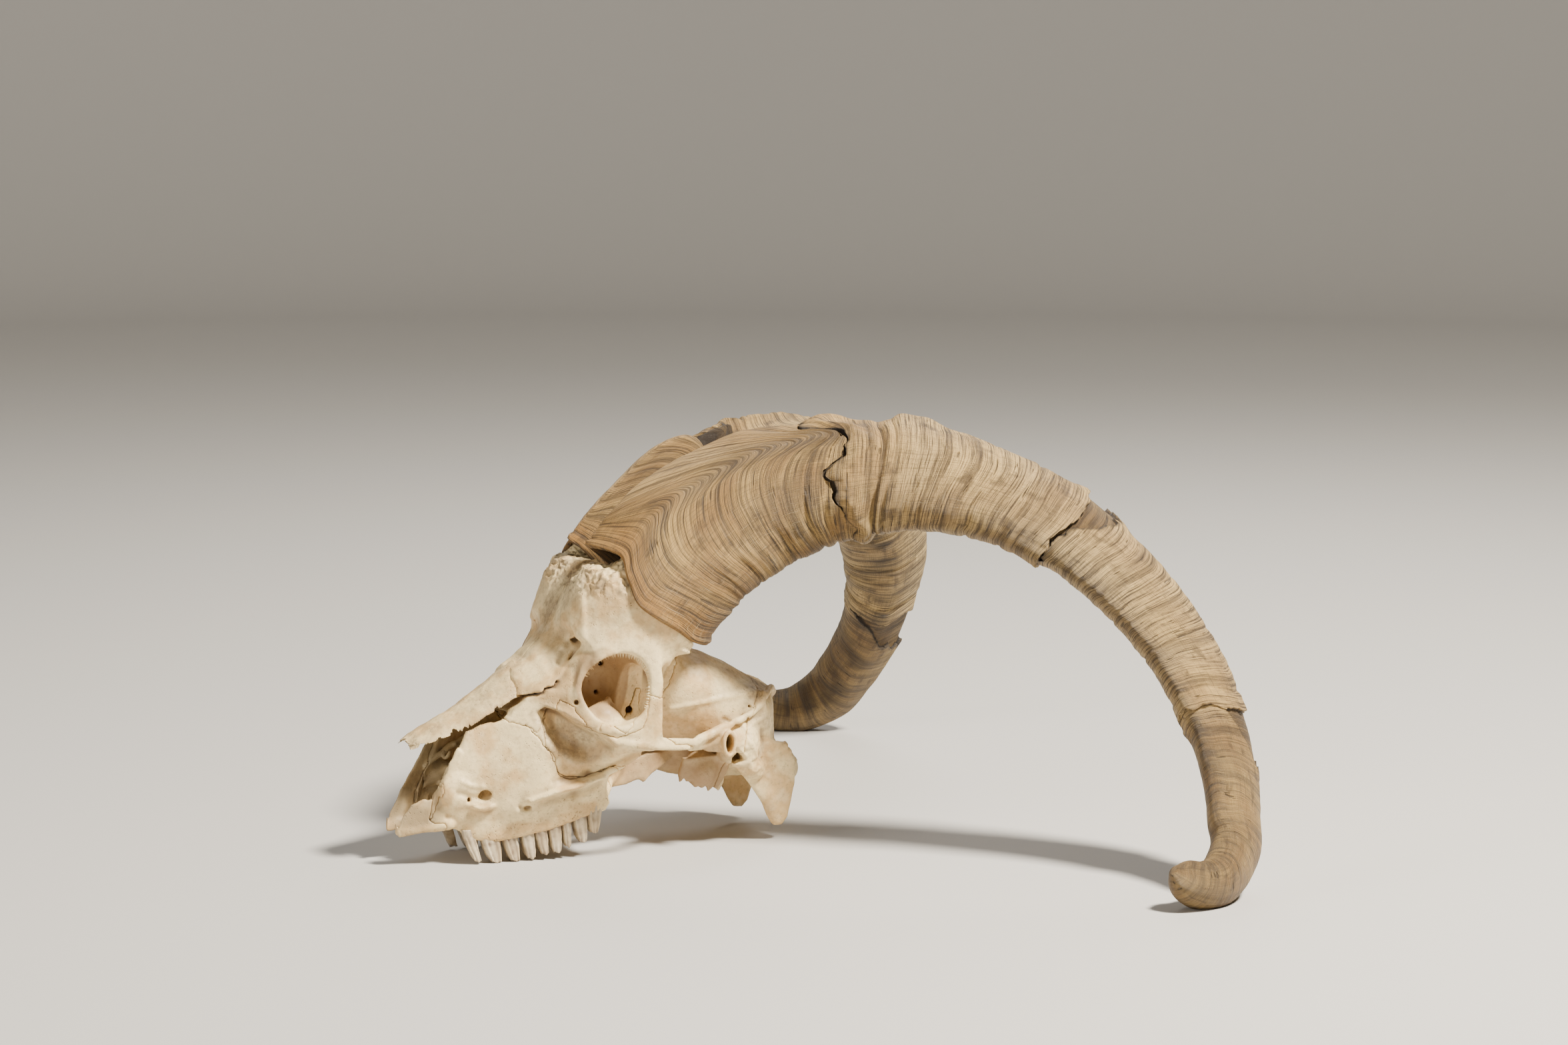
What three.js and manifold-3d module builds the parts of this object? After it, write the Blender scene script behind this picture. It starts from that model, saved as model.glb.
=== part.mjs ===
// The skull of a billy goat without its lower jaw, lying as it rests on a table: on the front cheek
// teeth and on the two horn tips. Millimetres, +Z up, the face towards -X, the left side at -Y.
//
// The bone is built whole from lofts, limbs and blobs, is hollowed where its openings show the
// inside, and is then parted along its sutures by thin cuts. The horn sheaths are keeled tubes,
// each parted at its growth breaks.
import * as THREE from "three";
import { mergeVertices } from "three/addons/utils/BufferGeometryUtils.js";
import Module from "manifold-3d";

const wasm = await Module();
wasm.setup();

// ---------------------------------------------------------------- driving dimensions
const MIDDLE_X = 23; // from the ear line to the middle of the whole length
const SUTURE = 0.4; // gap left by a thin cut between two bones
const FINEST = 0.06; // facets flatter than this are merged
const LEFT = -1;
const RIGHT = 1;

// Face: each station is [x, low z, high z, half width low, half width at the cheek, half width on top].
const FACE = [
  [-168, 22.5, 28, 13, 14, 12],
  [-161, 22.5, 47, 17, 19, 15],
  [-154, 21.5, 60, 20, 22, 16.5],
  [-149, 14.5, 72, 21.5, 23.5, 17],
  [-135, 11, 79.5, 23, 27, 19],
  [-118, 13, 87, 25.5, 33, 24],
  [-100, 18, 98, 28, 37, 32],
  [-86, 22.5, 106, 30.5, 38, 39],
  [-73, 26.5, 100, 31.5, 37, 40],
];
const CHEEK_HEIGHT = 0.4; // where the widest line of the face lies, as a share of its height
const FACE_WALL = 3; // thickness of the bone round the nose cavity

// Nasal bones: [x, z of the top, half width, depth of the arch].
const NASAL = [
  [-183.5, 68, 3, 2],
  [-178, 71.5, 8, 4],
  [-166, 77.5, 12, 7],
  [-152, 84, 14, 8.5],
  [-139, 91, 15, 9],
  [-127, 100, 15, 9],
  [-117, 108.5, 13, 8],
];
const NASAL_THICK = 3;

// Braincase along its axis: [x, z, half width, half height].
const BRAINCASE = [
  [-66, 92, 17, 17],
  [-48, 94, 25, 21],
  [-24, 86, 32, 26],
  [6, 77, 34.5, 26],
  [26, 71, 32, 22],
  [37, 68, 26, 17],
];

// Orbit: the rim's middle, its radii along X and Z and the rod it is made of.
const ORBIT = { x: -74, y: 55, z: 97, rx: 19.5, rz: 25, rod: 4.2, lean: 13, apex: [-56, 19, 90] };

// Cheek teeth: [x of the middle, z of the gum, z of the tip, half length, half breadth, y].
const TEETH = [
  [-144, 14, 0, 4, 3.5, 20],
  [-134.5, 12.5, 0, 4.6, 4.2, 21],
  [-124, 13, 0, 5, 5, 22.5],
  [-110.5, 15, 1.5, 6.6, 6, 24.5],
  [-96.5, 19, 5, 6.8, 6.5, 26],
  [-81.5, 24, 12, 7, 6.3, 27],
];

// Horn: [x, y outwards, z, keel half width, cheek half width, lean of the keel to the middle].
const HORN = [
  [-53, 37, 143, 43, 24, 0.56],
  [-24, 42, 177, 42.5, 23.5, 0.6],
  [15, 49, 199, 41, 23, 0.68],
  [58, 72, 211, 37, 21.5, 0.64],
  [106, 108, 209, 33, 19.5, 0.62],
  [155, 143, 184, 29, 17.5, 0.62],
  [177, 160, 162, 27.5, 16.5, 0.62],
  [193, 174.5, 140, 27, 16, 0.62],
  [206, 192, 112, 26, 15.5, 0.62],
  [212, 211, 84, 24.5, 15, 0.62],
  [211, 228.5, 59, 23, 14, 0.62],
  [205, 243, 40, 21.5, 13.2, 0.62],
  [197.5, 255, 25.5, 19.5, 12.8, 0.6],
  [188, 263.5, 17, 17.5, 12.4, 0.58],
  [176, 271, 12, 15.5, 11.8, 0.55],
  [163, 275, 13.5, 13, 11, 0.5],
  [152, 276, 19.5, 8, 8, 0.5],
  [148.5, 276, 22, 3, 3, 0.5],
];
// Rows of that table where a sheath ends at a growth break, and the swelling before and after it.
const BREAKS = {
  [LEFT]: [[3, 1, 1.02], [5, 1.04, 0.97], [9, 1.05, 0.97]],
  [RIGHT]: [[2, 1, 1], [5, 1.03, 1], [9, 1.05, 0.97]],
};
// The right horn's keel is broken down past its first break, and grows back to full height by a row.
const KEEL_LOSS = { depth: 17, end: 6 };
const HORN_SIDES = 12;
const HORN_CURVES = [
  new THREE.CatmullRomCurve3(HORN.map(([x, y, z]) => new THREE.Vector3(x, -y, z))),
  new THREE.CatmullRomCurve3(HORN.map((row) => new THREE.Vector3(row[3], row[4], row[5]))),
];

// ---------------------------------------------------------------- solids from rings
/** A closed manifold solid of a geometry, with its faces turned outwards. */
function solidOf(geometry) {
  const bare = new THREE.BufferGeometry().setAttribute("position", geometry.getAttribute("position"));
  if (geometry.index) bare.setIndex(geometry.index);
  const merged = mergeVertices(bare, 1e-4);
  const make = (triVerts) =>
    new wasm.Manifold(
      new wasm.Mesh({ numProp: 3, vertProperties: merged.attributes.position.array, triVerts }),
    );
  const triangles = new Uint32Array(merged.index.array);
  const made = make(triangles);
  return made.volume() > 0 ? made : make(triangles.reverse());
}

/** Skins a stack of equal rings of points and closes both ends with a fan. */
function loft(rings) {
  const count = rings[0].length;
  const middle = (ring) => ring.reduce((sum, p) => sum.add(p), new THREE.Vector3()).divideScalar(count);
  const points = [...rings.flat(), middle(rings[0]), middle(rings.at(-1))];
  const [first, last] = [points.length - 2, points.length - 1];
  const faces = [];
  for (let i = 0; i < count; i++) {
    const j = (i + 1) % count;
    faces.push(first, j, i, last, (rings.length - 1) * count + i, (rings.length - 1) * count + j);
    for (let r = 0; r + 1 < rings.length; r++) {
      const [a, b] = [r * count, (r + 1) * count];
      faces.push(a + i, a + j, b + j, a + i, b + j, b + i);
    }
  }
  return solidOf(new THREE.BufferGeometry().setFromPoints(points).setIndex(faces));
}

/** A limb: an oval section carried along a smooth path. Stations are [x, y, z, half across, half deep]. */
function limb(stations, { sides = 8, steps = 6, across = new THREE.Vector3(0, 1, 0) } = {}) {
  const path = new THREE.CatmullRomCurve3(stations.map(([x, y, z]) => new THREE.Vector3(x, y, z)));
  const girth = new THREE.CatmullRomCurve3(stations.map((s) => new THREE.Vector3(s[3], s[4], 0)));
  const rings = [];
  for (let k = 0; k <= steps; k++) {
    const t = k / steps;
    const [at, size, along] = [path.getPoint(t), girth.getPoint(t), path.getTangent(t)];
    const side = across.clone().addScaledVector(along, -across.dot(along)).normalize();
    const up = new THREE.Vector3().crossVectors(along, side);
    rings.push(
      Array.from({ length: sides }, (_, i) => {
        const turn = (2 * Math.PI * i) / sides;
        return at
          .clone()
          .addScaledVector(side, size.x * Math.cos(turn))
          .addScaledVector(up, size.y * Math.sin(turn));
      }),
    );
  }
  return loft(rings);
}

/** An ellipsoid with its radii along X, Y and Z, pitched about Y by so many degrees. */
function blob([x, y, z], [rx, ry, rz], pitch = 0, [wide, high] = [12, 8]) {
  const round = new THREE.SphereGeometry(1, wide, high).rotateX(Math.PI / 2).scale(rx, ry, rz);
  return solidOf(round.rotateY(THREE.MathUtils.degToRad(pitch)).translate(x, y, z));
}

/** A plate: an outline of [x, z] points, reaching from y = from to y = to. */
function plate(outline, from, to) {
  const shape = new THREE.Shape(outline.map(([x, z]) => new THREE.Vector2(x, z)));
  const flat = new THREE.ExtrudeGeometry(shape, { depth: to - from, bevelEnabled: false });
  return solidOf(flat.rotateX(Math.PI / 2).translate(0, to, 0));
}

/** The outline moved outwards by a distance, negative to shrink it. Its points run anticlockwise. */
function grown(outline, distance) {
  return outline.map(([x, z], i) => {
    const [px, pz] = outline[(i + outline.length - 1) % outline.length];
    const [nx, nz] = outline[(i + 1) % outline.length];
    const size = Math.hypot(nx - px, nz - pz);
    return [x + ((nz - pz) / size) * distance, z - ((nx - px) / size) * distance];
  });
}

const join = (...solids) => solids.flat().reduce((whole, one) => whole.add(one));
const onBothSides = (make) => [LEFT, RIGHT].map(make);

// ---------------------------------------------------------------- bone
/** Rings of the face: a hexagon that is widest at the cheek, drawn in by an inset for the cavity. */
function faceRings(stations, inset = 0) {
  return stations.map(([x, low, high, lowHalf, cheekHalf, topHalf]) => {
    const [floor, roof] = [low + inset, high - inset];
    const cheek = floor + CHEEK_HEIGHT * (roof - floor);
    const half = [
      [lowHalf * 0.7 - inset, floor],
      [lowHalf - inset, floor + (cheek - floor) * 0.2],
      [(lowHalf + cheekHalf) / 2 + 1 - inset, floor + (cheek - floor) * 0.6],
      [cheekHalf - inset, cheek],
      [(cheekHalf + topHalf) / 2 + 1 - inset, (cheek + roof) / 2],
      [topHalf - inset, roof - (roof - cheek) * 0.12],
      [topHalf * 0.6 - inset, roof],
    ];
    const left = half.map(([y, z]) => new THREE.Vector3(x, -y, z));
    const right = half.map(([y, z]) => new THREE.Vector3(x, y, z)).reverse();
    return [...left, ...right];
  });
}

/** The nose cavity, open to the front, over the palate and under the nasal bones. */
function noseCavity() {
  const stations = FACE.slice(0, 7).map(([x, low, high, ...halves], i) => {
    const palate = Math.max(low, 21) + 4.5 + i * 0.6;
    return [x, palate - FACE_WALL, Math.max(high + 2, palate + 14), ...halves];
  });
  const [x, ...front] = stations[0];
  return loft(faceRings([[x - 30, ...front], ...stations], FACE_WALL));
}

/** One nasal bone: an arched strip, full height at the middle line and thin at its edge. */
function nasalBone(side) {
  const rings = NASAL.map(([x, top, half, arch]) => {
    const outer = [0.15 / half, 0.5, 0.85, 1].map((share) => [share * half, top - arch * share * share]);
    const inner = outer.map(([y, z]) => [Math.max(y - NASAL_THICK * 0.35, 0.15), z - NASAL_THICK]);
    return [...outer, ...inner.reverse()].map(([y, z]) => new THREE.Vector3(x, side * y, z));
  });
  return loft(rings);
}

/** The space the nasal bones fill, with a suture's room round it. */
function nasalRoom() {
  const rings = NASAL.map(([x, top, half, arch]) => {
    const edge = half + SUTURE;
    return [
      [-edge, top - arch - NASAL_THICK - SUTURE],
      [edge, top - arch - NASAL_THICK - SUTURE],
      [edge, top - arch + 1],
      [half * 0.5, top + 2],
      [-half * 0.5, top + 2],
      [-edge, top - arch + 1],
    ].map(([y, z]) => new THREE.Vector3(x, y, z));
  });
  return loft(rings);
}

/** One premaxilla: the rod that carries the palate's tip, and the blade that climbs to the nasal bone. */
function premaxilla(side) {
  const rod = limb([
    [-187, side * 5.4, 20, 3, 4.5],
    [-183, side * 6.6, 20.5, 5.6, 5.2],
    [-176, side * 9, 22.5, 6.5, 4],
    [-170.2, side * 11, 24, 6.3, 3],
  ]);
  // The left blade is broken off half way up.
  const bladeTop = side === RIGHT ? [-160, 16, 61, 1.4, 3] : [-169, -15, 40, 1.4, 2.5];
  const blade = limb([[-182, side * 9, 22, 2.2, 4], [-175.5, side * 13, 33, 1.8, 4], bladeTop], { sides: 8, steps: 5 });
  return join(rod, blade);
}

/** The orbit's raised rim: a rod bent round an ellipse that leans outwards to the back. */
function orbitRim(side) {
  const { x, y, z, rx, rz, rod, lean } = ORBIT;
  const turns = 16;
  const at = (turn) => new THREE.Vector3(x + rx * Math.cos(turn), side * (y + (lean / 2) * Math.cos(turn) - 2.5 * Math.sin(turn)), z + rz * Math.sin(turn));
  const rings = Array.from({ length: turns }, (_, k) => {
    const turn = (2 * Math.PI * k) / turns;
    const middle = at(turn);
    const out = middle.clone().sub(new THREE.Vector3(x, middle.y, z)).normalize();
    return Array.from({ length: 6 }, (_, i) => {
      const round = (2 * Math.PI * i) / 6;
      return middle
        .clone()
        .addScaledVector(out, rod * Math.cos(round))
        .add(new THREE.Vector3(0, rod * 1.25 * Math.sin(round), 0));
    });
  });
  return closedLoop(rings);
}

/** Skins rings that run round a closed loop, such as a torus. */
function closedLoop(rings) {
  const count = rings[0].length;
  const faces = [];
  rings.forEach((_, r) => {
    const [a, b] = [r * count, ((r + 1) % rings.length) * count];
    for (let i = 0; i < count; i++) {
      const j = (i + 1) % count;
      faces.push(a + i, a + j, b + j, a + i, b + j, b + i);
    }
  });
  return solidOf(new THREE.BufferGeometry().setFromPoints(rings.flat()).setIndex(faces));
}

/** The hollow of the orbit: a funnel from the rim to its apex beside the middle wall. */
function orbitHollow(side) {
  const { x, y, z, rx, rz, apex } = ORBIT;
  const across = new THREE.Vector3(1, 0, 0);
  return limb(
    [
      [x - 8, side * (y + 24), z + 4, rx * 0.95, rz * 0.95],
      [x, side * y, z, rx * 0.88, rz * 0.9],
      [x + 6, side * (y - 16), z - 1, rx * 0.92, rz * 0.86],
      [apex[0] - 4, side * (apex[1] + 8), apex[2], rx * 0.75, rz * 0.62],
      [apex[0], side * apex[1], apex[2], rx * 0.35, rz * 0.3],
    ],
    { sides: 12, steps: 4, across },
  );
}

/** Brow, horn core foot and the roof of the orbit. */
function frontal(side) {
  return [
    blob([-64, side * 19, 122], [25, 29, 31], 12),
    blob([-78, side * 38, 96], [15, 14, 24], 0, [14, 8]),
    hornFoot(side),
    limb(
      [
        [-108, side * 6, 102, 11, 6],
        [-92, side * 8, 118, 13, 7],
        [-78, side * 9, 138, 13, 7],
        [-69, side * 10, 151, 11, 6.5],
        [-64, side * 11, 160, 8, 5],
      ],
      { sides: 8, steps: 6 },
    ),
    limb([
      [-93, side * 27, 100, 10, 9],
      [-81, side * 38, 113, 11, 9],
      [-67, side * 45.5, 119, 9, 8],
      [-51, side * 46, 113, 9, 9],
    ]),
  ];
}

/** Cheek bone: under the orbit, then back as the thin arch to the temple. */
function cheekArch(side) {
  return [
    limb(
      [
        [-106, side * 32, 58, 6, 10],
        [-92, side * 43, 62, 7, 9],
        [-76, side * 53, 66, 6, 6.5],
        [-58, side * 57.5, 68, 4, 5],
        [-42, side * 57.5, 65.5, 3, 3.6],
        [-30, side * 55.5, 63, 2.2, 1.6],
      ],
      { steps: 9 },
    ),
    limb(
      [
        [-40, side * 55, 67, 2.4, 2.2],
        [-26, side * 52, 69, 4, 4],
        [-12, side * 47, 74, 7, 5],
        [6, side * 41, 80, 9, 5],
        [24, side * 34, 86, 8, 4],
      ],
      { steps: 7 },
    ),
  ];
}

/** Ear region: temple block, ear tube, drum bulla and the long process behind it. */
function earRegion(side) {
  const blade = plate(
    [[12, 46], [11, 40], [17, 31], [24, 21], [30, 9.5], [34, 8.6], [37.5, 9.2], [41.5, 22], [43, 36], [39, 50]],
    Math.min(side * 25, side * 32),
    Math.max(side * 25, side * 32),
  );
  return [
    blob([10, side * 34, 63], [22, 11, 19], 8),
    blob([26.5, side * 30.7, 60], [14.5, 10.5, 25], 8),
    limb([[-6, side * 26, 58, 5, 6], [-6, side * 36, 61, 5, 7], [-6.5, side * 43, 62, 4, 5.6]], {
      sides: 10,
      steps: 3,
      across: new THREE.Vector3(1, 0, 0),
    }),
    blob([-12, side * 22, 43], [12, 8.5, 13], -20, [12, 8]),
    blade,
  ];
}

/** Back of the skull: crest, plate over the nape and the two condyles. */
function occiput() {
  return [
    limb([[43, -1, 80, 5, 5], [41, -18, 82, 5, 5], [33, -31, 80, 4.5, 5], [27, -38, 70, 4, 5]], {
      across: new THREE.Vector3(1, 0, 0),
    }),
    limb([[43, 1, 80, 5, 5], [41, 18, 82, 5, 5], [33, 31, 80, 4.5, 5], [27, 38, 70, 4, 5]], {
      across: new THREE.Vector3(1, 0, 0),
    }),
    limb([[33, 0, 80, 29.3, 6], [34, 0, 64, 29.4, 5.5], [33, 0, 50, 24, 7], [30, 0, 42, 16, 7]]),
    ...onBothSides((side) => blob([38.5, side * 13.5, 42], [8.5, 8, 12.5], -20, [12, 8])),
  ];
}

/** Base of the skull: the bar on the middle line, the wings beside it and their hooks. */
function skullBase() {
  return [
    limb([[34, 0, 38, 12, 6], [10, 0, 43, 12, 6], [-14, 0, 48, 8, 7], [-42, 0, 56, 7, 10], [-74, 0, 62, 8, 14], [-88, 0, 60, 8, 16]]),
    ...onBothSides((side) =>
      join(
        limb([[-76, side * 17, 42, 2.5, 12], [-58, side * 14, 47, 2, 10], [-36, side * 11, 51, 2, 9], [-20, side * 10, 52, 3, 7]], { steps: 6 }),
        limb([[-66, side * 15, 34, 1.8, 4], [-61.5, side * 14, 27.5, 1.4, 2.4], [-58.5, side * 13, 25.5, 1, 1.2]], { sides: 8, steps: 3 }),
      ),
    ),
  ];
}

/** One cheek tooth: a squarish prism, split at its tip into two worn cusps. */
function tooth([x, gum, tip, halfLong, halfWide, y], side) {
  const ring = (z, long, wide, slide) =>
    [[1, 0.55], [0.55, 1], [0.1, 0.72], [-0.1, 0.72], [-0.55, 1], [-1, 0.55], [-1, -0.7], [-0.6, -1], [0.6, -1], [1, -0.7]].map(
      ([a, b]) => new THREE.Vector3(x + slide + a * long, side * (y + b * wide), z),
    );
  const lean = 2.2;
  return loft([
    ring(gum + 9, halfLong * 0.8, halfWide * 0.8, -lean),
    ring(gum, halfLong * 0.97, halfWide * 0.95, 0),
    ring((gum + tip) / 2, halfLong * 0.94, halfWide * 0.95, lean / 2),
    ring(tip, halfLong * 0.8, halfWide * 0.62, lean),
  ]);
}

/** The whole bone before it is parted, without the nasal bones and the premaxillae. */
function wholeBone() {
  const solid = join(
    loft(faceRings(FACE)),
    limb(BRAINCASE.map(([x, z, wide, high]) => [x, 0, z, wide, high]), { sides: 14, steps: 7 }),
    onBothSides((side) => join(frontal(side), cheekArch(side), earRegion(side), orbitRim(side))),
    occiput(),
    skullBase(),
  );
  const hollows = [
    noseCavity(),
    ...onBothSides(orbitHollow),
    palateVault(),
    ...onBothSides((side) => blob([-40, side * 47, 88], [19, 17, 17], -12, [14, 8])),
    blob([44, 0, 52], [16, 9, 9], 0, [12, 8]),
    ...onBothSides((side) =>
      limb([[-6.5, side * 37, 61.5, 2.6, 4], [-6.5, side * 48, 62, 2.6, 4]], { sides: 8, steps: 1, across: new THREE.Vector3(1, 0, 0) }),
    ),
  ];
  const teeth = onBothSides((side) => join(TEETH.map((one) => tooth(one, side))));
  const rooms = [nasalRoom(), ...onBothSides(hornRoom)];
  return [...hollows, ...rooms]
    .reduce((bone, hollow) => bone.subtract(hollow), solid)
    .add(join(teeth));
}

/** The vault between the tooth rows. */
function palateVault() {
  return limb([[-160, 0, 17, 8, 5], [-140, 0, 14, 12, 9], [-110, 0, 15, 14, 11], [-84, 0, 20, 16, 13], [-60, 0, 24, 17, 16]], { steps: 5 });
}

// ---------------------------------------------------------------- horns
/** The horn at a row of its table: the place, the directions of keel and cheek, and both half widths. */
function hornFrame(row, broken) {
  const [x, y, z, keelHalf, cheekHalf, lean] = HORN_CURVES.map((curve) => curve.getPoint(row / (HORN.length - 1))).flatMap((v) => v.toArray());
  const along = HORN_CURVES[0].getTangent(row / (HORN.length - 1));
  const outer = new THREE.Vector3(-along.z, 0, along.x).normalize();
  const keel = outer.multiplyScalar(Math.sqrt(1 - lean * lean)).add(new THREE.Vector3(0, lean, 0));
  keel.addScaledVector(along, -keel.dot(along)).normalize();
  const cheek = new THREE.Vector3().crossVectors(keel, along).normalize();
  const { depth, end } = KEEL_LOSS;
  const loss = broken ? depth * THREE.MathUtils.clamp((end - row) / (end - 2), 0, 1) : 0;
  const at = new THREE.Vector3(x, y, z).addScaledVector(keel, -loss);
  return { at, along, keel, cheek, keelHalf: keelHalf - loss, cheekHalf };
}

/** A ring of the horn: an oval drawn out to a keel, thinner towards it, and flat where it stands. */
function hornRing({ at, keel, cheek, keelHalf, cheekHalf }, swell = 1) {
  return Array.from({ length: HORN_SIDES }, (_, i) => {
    const turn = (2 * Math.PI * i) / HORN_SIDES;
    const thin = 1 - 0.3 * Math.cos(turn);
    const point = at
      .clone()
      .addScaledVector(keel, swell * keelHalf * Math.cos(turn))
      .addScaledVector(cheek, swell * cheekHalf * thin * Math.sin(turn));
    return point.setZ(Math.max(point.z, 0));
  });
}

/** The rows at which a length from one row to another is skinned. */
const rowsBetween = (from, to) => {
  const steps = Math.ceil((to - from) * (from < 5 ? 3 : 1.5));
  return Array.from({ length: steps + 1 }, (_, k) => from + ((to - from) * k) / steps);
};

/** The four lengths of one horn sheath, from the base to the tip. */
function hornLengths(side) {
  const breaks = [[0, 1, 1], ...BREAKS[side], [HORN.length - 1, 1, 1]];
  return breaks.slice(1).map(([to, before], part) => {
    const [from, , after] = breaks[part];
    const rows = rowsBetween(from, to);
    const rings = rows.map((row, k) => {
      const frame = hornFrame(row, side === RIGHT && part > 0);
      if (k === 0 && part > 0) frame.at.addScaledVector(frame.along, SUTURE);
      const fromStart = Math.max(0, 1 - (row - from) / 0.6);
      const toEnd = Math.max(0, 1 - (to - row) / 0.6);
      return hornRing(frame, 1 + (after - 1) * fromStart + (before - 1) * toEnd);
    });
    const left = loft(rings);
    return side === LEFT ? left : left.mirror([0, 1, 0]);
  });
}

/** The foot of one horn core: the base's own section, drawn back into the brow. */
function hornFoot(side) {
  const { at, along, ...section } = hornFrame(0, false);
  const rings = [[45, 0.4], [30, 0.6], [14, 0.79], [0, 0.93]].map(([back, size]) =>
    hornRing({ ...section, at: at.clone().addScaledVector(along, -back) }, size),
  );
  const left = loft(rings);
  return side === LEFT ? left : left.mirror([0, 1, 0]);
}

/** The space that one sheath's base takes in the bone. */
function hornRoom(side) {
  const rings = rowsBetween(0, 3).map((row) => {
    const frame = hornFrame(row, false);
    frame.at.addScaledVector(frame.along, -SUTURE);
    return hornRing(frame, 1.015);
  });
  const left = loft(rings);
  return side === LEFT ? left : left.mirror([0, 1, 0]);
}

// ---------------------------------------------------------------- parting the bone
// Outlines in [x, z], anticlockwise seen from the right side, and how far from the middle each starts.
const MAXILLA = [[-172, -5], [-70.5, -5], [-70.5, 52], [-84, 60], [-98, 66], [-106, 80], [-114, 92], [-131, 84], [-172, 84]];
const CHEEK_BONE = [[-99, 60], [-84, 55], [-74, 48], [-29, 48], [-29, 66], [-46, 82], [-70, 82], [-88, 80]];
const MAXILLA_FROM = SUTURE / 2;
const CHEEK_BONE_FROM = 38;

/** All that lies beyond an outline's side of the middle, from a distance outwards. */
function reach(outline, side, from) {
  const ends = [side * from, side * 95];
  return plate(outline, Math.min(...ends), Math.max(...ends));
}

/** The largest body of a solid, without the crumbs that a cut leaves. */
function biggest(made) {
  return made.decompose().reduce((best, one) => (one.volume() > best.volume() ? one : best));
}

/** Takes one bone out of the whole along its suture, and gives it and the rest. */
function parted(whole, outline, side, from) {
  const own = whole.intersect(reach(outline, side, from));
  return [biggest(own), whole.subtract(reach(grown(outline, SUTURE), side, from - SUTURE))];
}

/** Makes a mesh of a solid, with its material, and merges facets that are flatter than a tolerance. */
function meshOf(name, made, material, finest = 0) {
  const plain = finest ? made.asOriginal().simplify(finest) : made;
  const { vertProperties, triVerts } = plain.getMesh();
  const geometry = new THREE.BufferGeometry();
  geometry.setAttribute("position", new THREE.BufferAttribute(new Float32Array(vertProperties), 3));
  geometry.setIndex(new THREE.BufferAttribute(new Uint32Array(triVerts), 1));
  geometry.computeVertexNormals();
  const mesh = new THREE.Mesh(geometry, material);
  mesh.name = name;
  return mesh;
}

const boneFinish = new THREE.MeshStandardMaterial({ color: 0xd9cbb0, roughness: 0.75, metalness: 0 });
const hornFinish = new THREE.MeshStandardMaterial({ color: 0xa58d66, roughness: 0.8, metalness: 0 });

const skull = new THREE.Group();
skull.position.x = -MIDDLE_X;

// A left bone gives its fellow on the right.
const toTheRight = (made) => made.mirror([0, 1, 0]);
const whole = wholeBone();
const [maxilla, behindMaxilla] = parted(whole, MAXILLA, LEFT, MAXILLA_FROM);
const [zygomatic, leftDone] = parted(behindMaxilla, CHEEK_BONE, LEFT, CHEEK_BONE_FROM);
const [, behindBoth] = parted(leftDone, MAXILLA, RIGHT, MAXILLA_FROM);
const [, rest] = parted(behindBoth, CHEEK_BONE, RIGHT, CHEEK_BONE_FROM);
skull.add(meshOf("cranium", biggest(rest), boneFinish, FINEST));
for (const [side, word] of [[LEFT, "left"], [RIGHT, "right"]]) {
  const placed = (made) => (side === LEFT ? made : toTheRight(made));
  skull.add(meshOf(`maxilla_${word}`, placed(maxilla), boneFinish, FINEST / 3));
  skull.add(meshOf(`zygomatic_${word}`, placed(zygomatic), boneFinish, FINEST / 3));
  skull.add(meshOf(`nasal_${word}`, nasalBone(side), boneFinish));
  skull.add(meshOf(`premaxilla_${word}`, premaxilla(side), boneFinish));
}

for (const [side, word] of [[LEFT, "left"], [RIGHT, "right"]])
  hornLengths(side).forEach((length, k) => {
    skull.add(meshOf(`horn_${["base", "upper", "lower", "tip"][k]}_${word}`, length, hornFinish));
  });

const model = new THREE.Group();
model.add(skull);

export default model;
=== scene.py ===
"""A goat's skull with its horns, at rest on a floor. Lengths here are in millimetres in the skull's own
frame: x runs from nose to nape, y across (the left side is negative) and z up from the floor.
Each piece is shifted by MIDDLE and turned into metres as it becomes a mesh."""

import math

import bpy
import numpy as np
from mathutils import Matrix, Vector


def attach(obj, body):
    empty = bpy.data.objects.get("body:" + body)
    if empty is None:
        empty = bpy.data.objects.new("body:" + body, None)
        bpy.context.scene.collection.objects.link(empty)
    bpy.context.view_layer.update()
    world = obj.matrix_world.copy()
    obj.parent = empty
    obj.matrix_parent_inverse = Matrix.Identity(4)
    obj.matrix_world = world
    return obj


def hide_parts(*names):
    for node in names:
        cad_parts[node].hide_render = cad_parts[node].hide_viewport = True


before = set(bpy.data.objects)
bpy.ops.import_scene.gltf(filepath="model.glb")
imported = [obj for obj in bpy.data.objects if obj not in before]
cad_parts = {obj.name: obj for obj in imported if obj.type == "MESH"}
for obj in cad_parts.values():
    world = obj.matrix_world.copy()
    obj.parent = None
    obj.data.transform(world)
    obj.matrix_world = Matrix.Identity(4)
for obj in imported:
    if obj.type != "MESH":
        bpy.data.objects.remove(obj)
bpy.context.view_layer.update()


MIDDLE = np.array([23.0, 0.0, 0.0])
GRAIN = 0.8  # grid spacing of the bone
LEFT, RIGHT = -1.0, 1.0
SIDES = {"left": LEFT, "right": RIGHT}


# --------------------------------------------------------------------------- numbers and shapes

def ease(low, high, x):
    """Smooth step: 0 below low, 1 above high, 3t^2 - 2t^3 between."""
    t = np.clip((x - low) / (high - low), 0, 1)
    return t * t * (3 - 2 * t)


def bump(x, centre, width):
    """Bell curve exp(-((x - centre) / width)^2)."""
    return np.exp(-(((x - centre) / width) ** 2))


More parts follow.
